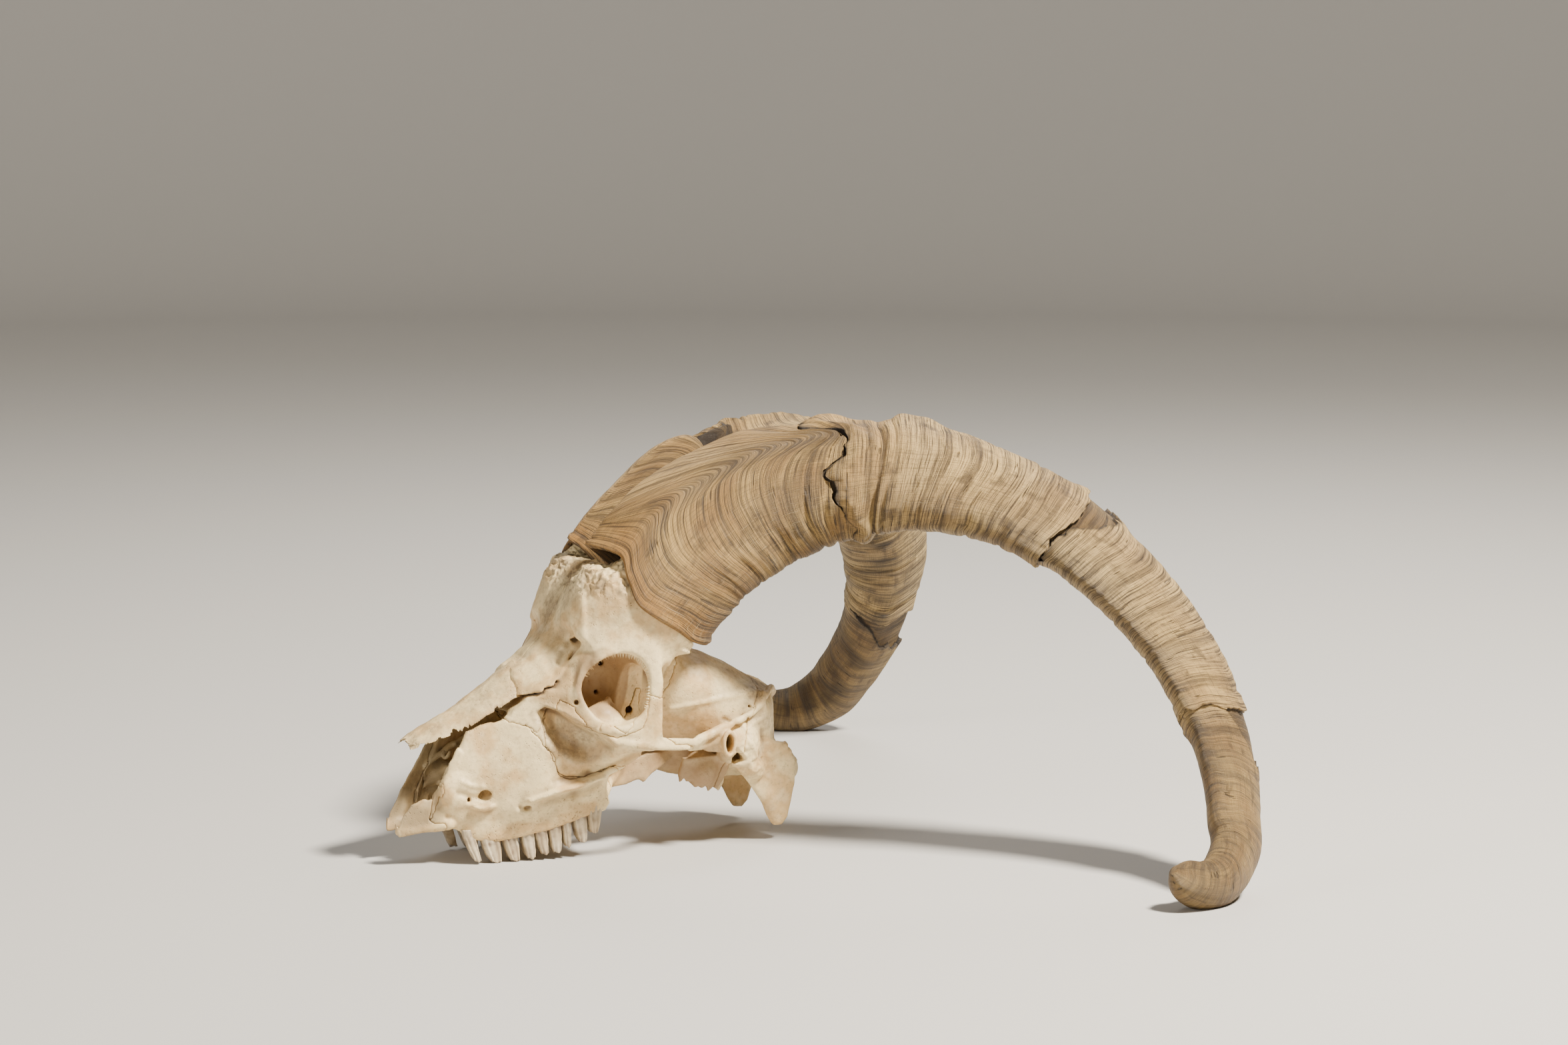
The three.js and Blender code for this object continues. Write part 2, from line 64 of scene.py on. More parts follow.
def through(knots, values, t):
    """Smooth curve through values at knots: cubic Hermite with finite-difference slopes."""
    knots, values, t = (np.asarray(a, float) for a in (knots, values, t))
    slope = np.gradient(values, knots, axis=0)
    i = np.clip(np.searchsorted(knots, t, side="right") - 1, 0, len(knots) - 2)
    step = knots[i + 1] - knots[i]
    u = np.clip((t - knots[i]) / step, 0, 1)
    if values.ndim > 1:
        u, step = u[..., None], step[..., None]
    return (
        (2 * u**3 - 3 * u**2 + 1) * values[i]
        + (u**3 - 2 * u**2 + u) * step * slope[i]
        + (3 * u**2 - 2 * u**3) * values[i + 1]
        + (u**3 - u**2) * step * slope[i + 1]
    )


def ring_through(points, s):
    """Closed smooth curve through points spread evenly over s in 0..1."""
    points = np.asarray(points, float)
    n = len(points)
    around = np.concatenate([points[-2:], points, points[:3]])
    return through(np.arange(-2, n + 3) / n, around, s % 1.0)


def cloud(p, seed):
    """Value noise in -1..1 at points p (lattice units): random lattice values, eased between corners."""
    table = np.random.default_rng(seed).uniform(-1, 1, (32, 32, 32)).astype(np.float32)
    p = np.asarray(p, np.float32)
    cell = np.floor(p)
    f = p - cell
    f = f * f * (3 - 2 * f)
    low = cell.astype(int) % 32
    high = (low + 1) % 32
    total = 0
    for i in (0, 1):
        for j in (0, 1):
            for k in (0, 1):
                ix, iy, iz = ((high if bit else low)[..., axis] for axis, bit in enumerate((i, j, k)))
                wx, wy, wz = ((f if bit else 1 - f)[..., axis] for axis, bit in enumerate((i, j, k)))
                total = total + table[ix, iy, iz] * wx * wy * wz
    return total


def layered(p, seed, layers=3, gain=0.5):
    """Sum of clouds, each at twice the frequency and gain times the height of the last."""
    return sum(cloud(np.asarray(p) * 2.0**n + 7.3 * n, seed + n) * gain**n for n in range(layers))


def pad(u, v):
    """Lattice points (u, v, 0) for noise over a surface's two parameters."""
    u, v = np.broadcast_arrays(u, v)
    return np.stack([u, v, np.zeros_like(u)], -1)


# --------------------------------------------------------------------------- meshes

def piece(name, co, faces, material, stands_for, marks=None):
    """A mesh object from points in millimetres and arrays of faces, riding on the root body."""
    co = (np.asarray(co, float).reshape(-1, 3) - MIDDLE) / 1000
    mesh = bpy.data.meshes.new(name)
    mesh.vertices.add(len(co))
    mesh.vertices.foreach_set("co", co.astype(np.float32).ravel())
    sizes = np.concatenate([np.full(len(f), f.shape[1]) for f in faces])
    loops = np.concatenate([f.ravel() for f in faces]).astype(np.int32)
    mesh.loops.add(len(loops))
    mesh.loops.foreach_set("vertex_index", loops)
    mesh.polygons.add(len(sizes))
    mesh.polygons.foreach_set("loop_start", (np.cumsum(sizes) - sizes).astype(np.int32))
    mesh.polygons.foreach_set("use_smooth", np.ones(len(sizes), bool))
    mesh.update(calc_edges=True)
    mesh.validate()
    for key, values in (marks or {}).items():
        layer = mesh.attributes.new(key, "FLOAT", "POINT")
        layer.data.foreach_set("value", np.asarray(values, np.float32).ravel())
    made = bpy.data.objects.new(name, mesh)
    bpy.context.scene.collection.objects.link(made)
    mesh.materials.append(material)
    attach(made, "root")
    if stands_for:
        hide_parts(*stands_for)
    return made


def tube_faces(rows, around, flip):
    """Faces of a grid closed around its second parameter, with a fan on a pole point at each end.
    The pole points follow the grid's own: start first, then end."""
    i, j = np.meshgrid(np.arange(rows - 1), np.arange(around), indexing="ij")
    a, b = i * around + j, i * around + (j + 1) % around
    quads = np.stack([a, b, b + around, a + around], -1).reshape(-1, 4)
    pole, last = rows * around, (rows - 1) * around
    j = np.arange(around)
    start = np.stack([np.full(around, pole), (j + 1) % around, j], -1)
    end = np.stack([np.full(around, pole + 1), last + j, last + (j + 1) % around], -1)
    return [f[:, ::-1] if flip else f for f in (quads, start, end)]


def with_poles(co):
    """The grid's points, followed by the middle of its first and of its last ring."""
    return np.concatenate([co.reshape(-1, co.shape[-1]), [co[0].mean(0), co[-1].mean(0)]])


# --------------------------------------------------------------------------- materials

def feed(tree, socket, value):
    """Link another node's output to the socket, or give it a plain value."""
    if isinstance(value, bpy.types.NodeSocket):
        tree.links.new(value, socket)
    else:
        socket.default_value = value


def node(tree, kind, settings=None, **inputs):
    """A node with its settings and inputs, which are named as in Blender."""
    made = tree.nodes.new(kind)
    for key, value in (settings or {}).items():
        setattr(made, key, value)
    for key, value in inputs.items():
        feed(tree, made.inputs[key], value)
    return made


def maths(tree, operation, *values, clamp=False):
    """The result of a Math node."""
    made = node(tree, "ShaderNodeMath", {"operation": operation, "use_clamp": clamp})
    for socket, value in zip(made.inputs, values):
        feed(tree, socket, value)
    return made.outputs[0]


def times(tree, a, b, clamp=False):
    """The product a b."""
    return maths(tree, "MULTIPLY", a, b, clamp=clamp)


def blend(tree, factor, a, b):
    """Colour a mixed with colour b by factor."""
    made = node(tree, "ShaderNodeMix", {"data_type": "RGBA", "clamp_factor": True})
    for i, value in ((0, factor), (6, a), (7, b)):
        feed(tree, made.inputs[i], (*value, 1) if isinstance(value, tuple) else value)
    return made.outputs[2]


def coated(tree, colour, *coats):
    """A colour with each coat (factor, tone) laid over it in turn."""
    for factor, tone in coats:
        colour = blend(tree, factor, colour, tone)
    return colour


def span(tree, value, low, high, to_low=0.0, to_high=1.0):
    """value mapped from low..high to to_low..to_high, clamped and eased."""
    made = node(tree, "ShaderNodeMapRange", {"interpolation_type": "SMOOTHSTEP"})
    for socket, v in zip(made.inputs, (value, low, high, to_low, to_high)):
        feed(tree, socket, v)
    return made.outputs[0]


def mark(tree, name):
    """A piece's own mark, as piece() stores it on the points."""
    settings = {"attribute_type": "GEOMETRY", "attribute_name": name}
    return node(tree, "ShaderNodeAttribute", settings).outputs["Fac"]


def grain(tree, vector, scale, detail=3.0, rough=0.55):
    """Noise in 0..1 over a vector."""
    made = node(tree, "ShaderNodeTexNoise", Vector=vector, Scale=scale, Detail=detail, Roughness=rough)
    return made.outputs["Fac"]


def begin(name, rough=0.6):
    """An empty material with a Principled shader."""
    made = bpy.data.materials.new(name)
    made.use_nodes = True
    tree = made.node_tree
    shader = tree.nodes["Principled BSDF"]
    shader.inputs["Roughness"].default_value = rough
    return made, tree, shader


def bumped(tree, shader, height, distance, strength=1.0):
    """Let the shader's surface rise and fall with height, which is 1 for this distance in metres."""
    made = node(tree, "ShaderNodeBump", Strength=strength, Distance=distance, Height=height)
    tree.links.new(made.outputs[0], shader.inputs["Normal"])


def pores_group():
    """A node group of pits and speckles over object space: cell distances thresholded, at two sizes."""
    tree = bpy.data.node_groups.new("pores", "ShaderNodeTree")
    tree.interface.new_socket("Amount", in_out="INPUT", socket_type="NodeSocketFloat").default_value = 1.0
    for label in ("Pits", "Fine", "Patch"):
        tree.interface.new_socket(label, in_out="OUTPUT", socket_type="NodeSocketFloat")
    given, out = tree.nodes.new("NodeGroupInput"), tree.nodes.new("NodeGroupOutput")
    where = node(tree, "ShaderNodeTexCoord").outputs["Object"]
    total = 0.0
    for scale, size in ((620.0, 0.34), (1250.0, 0.30)):
        cells = node(tree, "ShaderNodeTexVoronoi", Vector=where, Scale=scale, Randomness=1.0)
        pit = span(tree, cells.outputs["Distance"], 0.0, size, 1.0, 0.0)
        keep = span(tree, grain(tree, where, scale * 0.22, 2.0), 0.42, 0.66)
        total = maths(tree, "MAXIMUM", total, times(tree, pit, keep))
    feed(tree, out.inputs["Pits"], times(tree, total, given.outputs["Amount"], clamp=True))
    feed(tree, out.inputs["Fine"], grain(tree, where, 420.0, 5.0, 0.6))
    feed(tree, out.inputs["Patch"], grain(tree, where, 38.0, 4.0, 0.55))
    return tree


IVORY, CREAM, CHALK = (0.88, 0.70, 0.385), (0.64, 0.42, 0.18), (0.94, 0.80, 0.52)
# The near black below marks the seams and the crack and is painted shade in the ear; the stain and warm
# browns also carry painted shade.
UMBER, SEAM_DARK_AND_SHADE, OLIVE = (0.19, 0.115, 0.055), (0.035, 0.024, 0.016), (0.33, 0.27, 0.16)
STAIN_AND_SHADE, WARM_TONE_AND_SHADE = (0.27, 0.20, 0.12), (0.33, 0.205, 0.10)


def bone_material():
    """Warm ivory bone: cream patches, umber dirt and painted shade in the hollows, pits, stains with painted
    shade under the cheek's upper edge and the braincase, warm brown and painted shade in the socket and
    beneath, and olive thin walls inside the nose."""
    made, tree, shader = begin("bone")
    pores = node(tree, "ShaderNodeGroup", {"node_tree": pores_group()}, Amount=mark(tree, "porous"))
    patch, fine, pits = (pores.outputs[k] for k in ("Patch", "Fine", "Pits"))
    # umber dirt and painted shade in the hollows
    dirt_and_shade = times(tree, mark(tree, "hollow"), span(tree, patch, 0.2, 0.7, 0.8, 1.4), clamp=True)
    # stains, with painted shade under the cheek's upper edge and under the braincase
    stain_and_shade = times(tree, mark(tree, "stain_and_shade"), span(tree, fine, 0.3, 0.7, 0.55, 1.1), clamp=True)
    colour = coated(
        tree, IVORY,
        (span(tree, patch, 0.42, 0.62), CREAM),
        (times(tree, span(tree, patch, 0.56, 0.74), 0.6), CHALK),
        (times(tree, span(tree, fine, 0.46, 0.74), 0.30), UMBER),
        (times(tree, dirt_and_shade, 0.85, clamp=True), UMBER),
        (stain_and_shade, STAIN_AND_SHADE),
        (times(tree, mark(tree, "olive"), 0.85), OLIVE),
        # warm brown, and painted shade in the socket and beneath the braincase
        (times(tree, mark(tree, "warm_tone_and_shade"), 0.85), WARM_TONE_AND_SHADE),
        (times(tree, pits, 0.75), UMBER),
        # near black on the seams and the crack, and painted shade in the ear's opening
        (mark(tree, "dark"), SEAM_DARK_AND_SHADE),
    )
    feed(tree, shader.inputs["Base Color"], colour)
    feed(tree, shader.inputs["Roughness"], span(tree, fine, 0.3, 0.7, 0.48, 0.66))
    bumped(tree, shader, maths(tree, "SUBTRACT", times(tree, fine, 0.35), pits), 0.0008, 0.8)
    return made


STRAW, TAN, PALE = (0.62, 0.40, 0.135), (0.40, 0.228, 0.070), (0.70, 0.515, 0.245)
AMBER, ASH, FRAYED = (0.40, 0.205, 0.050), (0.115, 0.082, 0.05), (0.52, 0.39, 0.21)
SLOW_DARK, BAND_DARK, BLOT_DARK = (0.12, 0.075, 0.036), (0.085, 0.053, 0.026), (0.08, 0.05, 0.027)
LINE_DARK, FIBRE_DARK = (0.06, 0.036, 0.017), (0.085, 0.055, 0.028)
# The second is painted shade under the rims and in the crack, and the brown of weathered patches.
SLIT_DARK, UNDER_SHADE_AND_WEATHER = (0.06, 0.04, 0.025), (0.03, 0.02, 0.013)


def horn_material():
    """Horn sheath: fine growth lines along constant "ring", fibres along constant "around", and tones by
    length."""
    made, tree, shader = begin("horn")
    ring, around = mark(tree, "ring"), mark(tree, "around")

    def weave(along_scale, around_scale, detail=2.0, rough=0.5):
        x, y = times(tree, ring, along_scale), times(tree, around, around_scale)
        where = node(tree, "ShaderNodeCombineXYZ", X=x, Y=y)
        return grain(tree, where.outputs[0], 1.0, detail, rough)

    lines, bands, slow = weave(1.15, 0.022, 6.0, 0.8), weave(0.30, 0.010, 4.0, 0.65), weave(0.075, 0.006)
    fibres, blots = weave(0.03, 2.6, 4.0, 0.7), weave(0.07, 0.10, 4.0, 0.6)
    cloudy = weave(0.035, 0.04, 3.0, 0.55)
    slits = span(tree, weave(0.42, 0.05), 0.655, 0.70)
    scratch = span(tree, weave(0.09, 1.9), 0.62, 0.70, 0.0, 0.55)
    cross = span(tree, weave(1.1, 0.06), 0.62, 0.70, 0.0, 0.55)
    light = maths(tree, "MAXIMUM", scratch, cross)
    lively = maths(tree, "SUBTRACT", 1.0, times(tree, mark(tree, "calm"), 0.72))
    colour = coated(
        tree, STRAW,
        (span(tree, cloudy, 0.35, 0.65), TAN),
        (times(tree, mark(tree, "amber"), span(tree, cloudy, 0.3, 0.6, 0.6, 1.0)), AMBER),
        (times(tree, mark(tree, "pale"), 0.85), PALE),
        (times(tree, mark(tree, "grey"), span(tree, bands, 0.3, 0.7, 0.4, 1.0)), ASH),
        (times(tree, span(tree, slow, 0.50, 0.66, 0.0, 0.38), lively), SLOW_DARK),
        (times(tree, span(tree, bands, 0.50, 0.62, 0.0, 0.66), lively), BAND_DARK),
        (span(tree, blots, 0.54, 0.68, 0.0, 0.6), BLOT_DARK),
        (times(tree, span(tree, lines, 0.49, 0.58, 0.0, 0.95), lively), LINE_DARK),
        (span(tree, fibres, 0.50, 0.62, 0.0, 0.55), FIBRE_DARK),
        (times(tree, light, mark(tree, "woven")), FRAYED),
        (times(tree, slits, 0.75), SLIT_DARK),
        # painted shade under the rims and in the crack, and weathered patches on the right horn
        (mark(tree, "dark"), UNDER_SHADE_AND_WEATHER),
    )
    feed(tree, shader.inputs["Base Color"], colour)
    feed(tree, shader.inputs["Roughness"], span(tree, lines, 0.3, 0.7, 0.42, 0.62))
    height = times(tree, lines, -0.8)
    for layer, share in ((fibres, -0.45), (times(tree, bands, lively), -0.9), (slits, -0.9), (light, 0.25)):
        height = maths(tree, "ADD", height, times(tree, layer, share))
    bumped(tree, shader, height, 0.0018)
    return made


ENAMEL_LIGHT, ENAMEL_DARK = (0.70, 0.60, 0.42), (0.52, 0.41, 0.26)
FOLD_DARK, SPECK_DARK = (0.14, 0.085, 0.055), (0.22, 0.14, 0.10)


def tooth_material():
    """Ivory enamel, stained brown towards the gum and in the folds."""
    made, tree, shader = begin("tooth", 0.35)
    where = node(tree, "ShaderNodeTexCoord").outputs["Object"]
    speckle = grain(tree, where, 300.0, 4.0, 0.6)
    colour = coated(
        tree, ENAMEL_LIGHT,
        (span(tree, grain(tree, where, 90.0, 3.0), 0.35, 0.65), ENAMEL_DARK),
        (times(tree, mark(tree, "fold"), span(tree, speckle, 0.3, 0.7, 0.5, 1.1), clamp=True), FOLD_DARK),
        (times(tree, span(tree, speckle, 0.56, 0.7), 0.4), SPECK_DARK),
    )
    feed(tree, shader.inputs["Base Color"], colour)
    bumped(tree, shader, speckle, 0.0003, 0.4)
    return made


BONE, HORNY, ENAMEL = bone_material(), horn_material(), tooth_material()


# --------------------------------------------------------------------------- horns

# Where the horn's axis is, half its depth from belly to keel, half its thickness, and the keel's lean.
HORN = np.array([
    (-53, 37, 143, 43, 24, 0.56), (-24, 42, 177, 42.5, 23.5, 0.6), (15, 49, 199, 41, 23, 0.68),
    (58, 72, 211, 37, 21.5, 0.64), (106, 108, 209, 33, 19.5, 0.62), (155, 143, 184, 29, 17.5, 0.62),
    (177, 160, 162, 27.5, 16.5, 0.62), (193, 174.5, 140, 27, 16, 0.62), (206, 192, 112, 26, 15.5, 0.62),
    (211, 211, 84, 23.5, 15, 0.62), (209.5, 228.5, 59, 22, 14, 0.62), (203.5, 243, 40, 20.5, 13.2, 0.62),
    (197.5, 255, 25.5, 19.5, 12.8, 0.6), (188, 263.5, 17, 17.5, 12.4, 0.58), (176, 271, 12, 15.5, 11.8, 0.55),
    (163, 275, 13.5, 13, 11, 0.5), (152, 276, 19.5, 8, 8, 0.5), (148.5, 276, 22, 3, 3, 0.5),
])
HORN_AT = np.concatenate([[0], np.cumsum(np.linalg.norm(np.diff(HORN[:, :3], axis=0), axis=1))])
HORN_END = HORN_AT[-1]

# Cross-sections from the keel over the outer cheek to the belly and back over the inner cheek.
SECTION_BASE = np.array([
    (43, 0), (31, 8), (19, 14), (8, 20), (-6, 22), (-19, 18.5), (-30, 11), (-38, 1),
    (-43, -9), (-39, -16.5), (-28, -18.5), (-15, -16), (-1, -13.5), (12, -12), (25, -10), (36, -6),
]) / (43, 23.5)
SECTION_MID = np.array([
    (1, 0), (0.80, 0.40), (0.52, 0.74), (0.18, 0.95), (-0.18, 1.0), (-0.52, 0.90), (-0.80, 0.62),
    (-0.96, 0.25), (-1, -0.05), (-0.93, -0.40), (-0.74, -0.72), (-0.45, -0.92), (-0.1, -1),
    (0.24, -0.92), (0.55, -0.70), (0.82, -0.38),
])
SECTION_TIP = np.array([(math.cos(2 * math.pi * k / 16), math.sin(2 * math.pi * k / 16)) for k in range(16)])

# How far towards the tip a growth line runs, around the section: at the rim, over the first length, and
# beyond.
LINE_RIM = (6, 11, 12, 4, -3, -3, -1, 0, 3, 4, 4, 4, 4, 4, 5, 6)
LINE_CHEVRON = (-26, -4, 22, 8, 0, -2, -1, 3, 6, 5, 4, 3, 1, -2, -6, -14)
LINE_BEYOND = (-4, -2, 1, 3, 3, 2, 0, -1, -2, -1, 0, 1, 2, 2, 0, -2)


# The right horn's keel is broken away: by length along the horn, how much of it is gone.
KEEL_LOST_AT = (0, 40, 89, 97, 140, 200, 265, 300, 340, 370, 410, 450, 540)
KEEL_LOST = (0, 4.5, 10.5, 25, 30, 20, 2, -1, 0, 4, 6, 4, 0)
# Where the left horn's keel is worn flat: how much, and where the wear starts and ends.
KEEL_WORN = ((5.2, (90, 118), (156, 166)), (3.8, (176, 190), (245, 262)))


def section_at(along, s):
    """The section (towards the keel, towards the outer cheek) in units of its half sizes."""
    base = 1 - ease(50, 190, along)[..., None]
    tip = ease(415, 500, along)[..., None]
    shape = base * ring_through(SECTION_BASE, s) + (1 - base) * ring_through(SECTION_MID, s)
    return (1 - tip) * shape + tip * ring_through(SECTION_TIP, s)


def line_shift(ring, s):
    """How far along the horn a growth line leads its nominal place, around the section."""
    rim, chevron, beyond = (ring_through(line, s) for line in (LINE_RIM, LINE_CHEVRON, LINE_BEYOND))
    first, second = ease(4, 62, ring), ease(100, 150, ring)
    return (rim * (1 - first) + chevron * first) * (1 - second) + beyond * second * (1 - ease(440, 500, ring))


def unit(vectors):
    """The vectors at length 1."""
    return vectors / np.linalg.norm(vectors, axis=-1, keepdims=True)


def horn_frame(side, along):
    """At lengths along the horn: the axis, the directions to the keel and the outer cheek, and both half
    sizes. Before the rim the axis runs on straight."""
    step = 2.0
    rows = through(HORN_AT, HORN, np.clip(along, 0, HORN_END))
    near = np.clip(along, step, HORN_END - step)
    tangent = unit(through(HORN_AT, HORN[:, :3], near + step) - through(HORN_AT, HORN[:, :3], near - step))
    at = rows[..., :3] + tangent * np.minimum(along, 0)[..., None]
    flip = np.array([1, side, 1])
    at, tangent = at * flip, tangent * flip
    depth, half, lean = rows[..., 3], rows[..., 4], rows[..., 5]
    outer = unit(np.stack([-tangent[..., 2], np.zeros_like(lean), tangent[..., 0]], -1))
    keel = outer * np.sqrt(1 - lean**2)[..., None] - np.stack([0 * lean, side * lean, 0 * lean], -1)
    keel = unit(keel - tangent * (keel * tangent).sum(-1, keepdims=True))
    cheek = np.cross(keel, tangent)
    cheek *= np.sign((cheek[..., 1] * side).mean())
    return at, keel, cheek, depth, half


def horn_surface(side, ring, s, swell):
    """Points of the horn at nominal growth length ring and turn s: the section, times swell, carried
    along the axis. Also how far along the axis they are."""
    along = np.clip(ring + line_shift(ring, s), -14, HORN_END)
    at, keel, cheek, depth, half = horn_frame(side, along)
    shape = section_at(along, s)
    m, n = shape[..., 0] * depth, shape[..., 1] * half
    if side == RIGHT:
        m = m - 1.15 * through(KEEL_LOST_AT, KEEL_LOST, along) * ease(-0.1, 1.0, shape[..., 0])
    else:
        worn = sum(much * ease(*starts, along) * (1 - ease(*ends, along)) for much, starts, ends in KEEL_WORN)
        m = m - worn * ease(0.5, 1.0, shape[..., 0])
    return at + keel * (m * swell)[..., None] + cheek * (n * swell)[..., None], along


# The growth relief's noise: its length along the horn, how often it changes around the horn, and its
# height.
GROWTH = ((1.9, 3.0, 0.20), (4.2, 2.0, 0.42), (9.0, 1.3, 0.45), (30.0, 2.2, 0.7))
# The deeper grooves: where, how deep and how wide.
GROOVES = (
    (24, 0.5, 1.2), (58, 0.9, 1.6), (92, 0.6, 1.5), (116, 1.2, 1.8), (128, 1.4, 1.8), (157, 2.8, 2.2),
    (164, 1.4, 1.4), (186, 0.7, 1.4), (216, 1.0, 1.6), (238, 0.9, 1.5), (322, 0.8, 1.4), (352, 0.9, 1.4),
    (386, 1.1, 1.8),
)


def growth_relief(ring, s, side):
    """Height of the growth lines: noise stretched around the horn, with deeper grooves."""
    seed = 11 if side == LEFT else 47
    turn = np.minimum(s, 1 - s) * 2
    lines = sum(height * cloud(pad(ring / length, turn * often), seed + k)
                for k, (length, often, height) in enumerate(GROWTH))
    fade = 1 - 0.75 * ease(395, 430, ring)
    facet = 1 - 0.6 * bump(s, 0.0, 0.07) - 0.6 * bump(s, 1.0, 0.07)
    wander = ring + 1.5 * cloud(pad(turn * 4, ring * 0), seed + 9)
    grooves = sum(depth * bump(wander, at, wide) for at, depth, wide in GROOVES)
    return (lines * fade - grooves) * facet


# Each length of the sheath: its name, where it starts and ends, and how many columns it has.
LENGTHS = (("base", 0.0, 138.0, 260), ("upper", 138.0, 264.0, 230), ("lower", 264.0, 398.0, 200),
           ("tip", 398.0, HORN_END, 160))
# How much wider than the horn itself a length is at its start and at its end.
RIM_RISE = {"base": (0.0, 0.012), "upper": (0.0, 0.115), "lower": (0.02, 0.075), "tip": (0.05, 0.0)}
# Two lengths start later on the keel side, over a peeled recess: how far the layer beneath runs back, how
# rough the rim is, and how late it starts by turn.
PEELED = {
    "lower": (22.0, 1.6, (0, 0.08, 0.16, 0.25, 0.33, 0.40, 0.5, 0.75, 0.9, 1),
              (20, 22, 19, 11, 3.5, 1.5, 0, 0, 8, 20)),
    "tip": (34.0, 1.3, (0, 0.1, 0.2, 0.27, 0.33, 0.38, 0.5, 0.7, 0.85, 1),
            (31, 30, 27, 15, 1, -4, -3, 5, 22, 31)),
}
# Shreds that stick out of a peeled rim: where around the horn, how long and how wide.
SHREDS = ((0.975, 5.0, 0.010), (0.005, 8.5, 0.011), (0.035, 5.5, 0.009), (0.075, 7.5, 0.012),
          (0.12, 3.5, 0.010))
CRACK_TURNS = (0, 0.06, 0.12, 0.165, 0.20, 0.235, 0.30, 0.36, 0.42, 0.5, 0.7, 0.9, 1)
CRACK_BENDS = (-9, -14, -13, -1, -1, -8, -7, -2, 5, 4, 0, -4, -9)
END_ROWS = 6   # rows of the sleeve inside a length's end


def torn_edge(s, seed, height, teeth):
    """A ragged line around the horn: layered noise on a circle."""
    circle = pad(np.cos(2 * math.pi * s) * teeth, np.sin(2 * math.pi * s) * teeth)
    return height * layered(circle, seed, 4, 0.6)


def crack_line(s, side):
    """The zigzag where the first length ends: three bends on the outer cheek, roughened."""
    bends = through(CRACK_TURNS, CRACK_BENDS, s) * (1 if side == LEFT else 0.5)
    steps = 1.1 * np.sign(np.sin(s * 90)) * np.abs(np.sin(s * 90)) ** 0.4 * (s < 0.5)
    return bends + torn_edge(s, 7 + (side > 0), 1.6, 4.4) + steps


def crack_width(s, side):
    """How far the crack gapes, around the horn."""
    if side == RIGHT:
        return 1.6 * bump(s, 0.8, 0.1)
    return 8.0 * bump(s, 0.11, 0.035) + 2.6 * bump(s, 0.215, 0.03) + 2.2 * bump(s, 0.30, 0.05)


def rim_lines(side, label, seed, s):
    """How far a length's first and last row stray from their nominal place around the horn, and shreds."""
    first, last, shreds = torn_edge(s, seed, 2.2, 2.2), torn_edge(s, seed + 5, 2.0, 2.6), 0 * s
    if label == "base":
        first, last = 0 * s, crack_line(s, side)
    if label == "upper":
        frayed = 0.35 * layered(pad(s * 60, 0 * s), seed, 2)
        first = crack_line(s, side) + 0.35 + crack_width(s, side) + frayed
    if label == "tip":
        last = 0 * s
    if label in PEELED:
        reach, rough, turns, late = PEELED[label]
        shreds = sum(long * bump(s, at, wide) for at, long, wide in SHREDS)
        first = rough * first + through(turns, late, s) - shreds
    return first, last, shreds


def sleeve(s, line, inward, reach, count):
    """Rows that turn in at a rim and run on inside, below the surface."""
    u = np.linspace(0, 1, count)[:, None]
    ring = line + reach * ease(0.25, 1, u)
    return ring, np.broadcast_to(s, ring.shape), 1 - inward * ease(0, 0.35, u) + 0 * ring, 0 * ring


def peeled_layer(s, line, reach, side):
    """The layer beneath a peeled rim: rows just under the surface, with faint growth lines."""
    u = np.linspace(0, 1, 30)[:, None]
    ring = line - reach * u**1.2
    turns = np.broadcast_to(s, ring.shape)
    relief = 0.25 * growth_relief(line - reach * u, turns, side)
    return ring, turns, 1 - 0.06 * ease(0, 0.06, u) + 0 * ring, relief


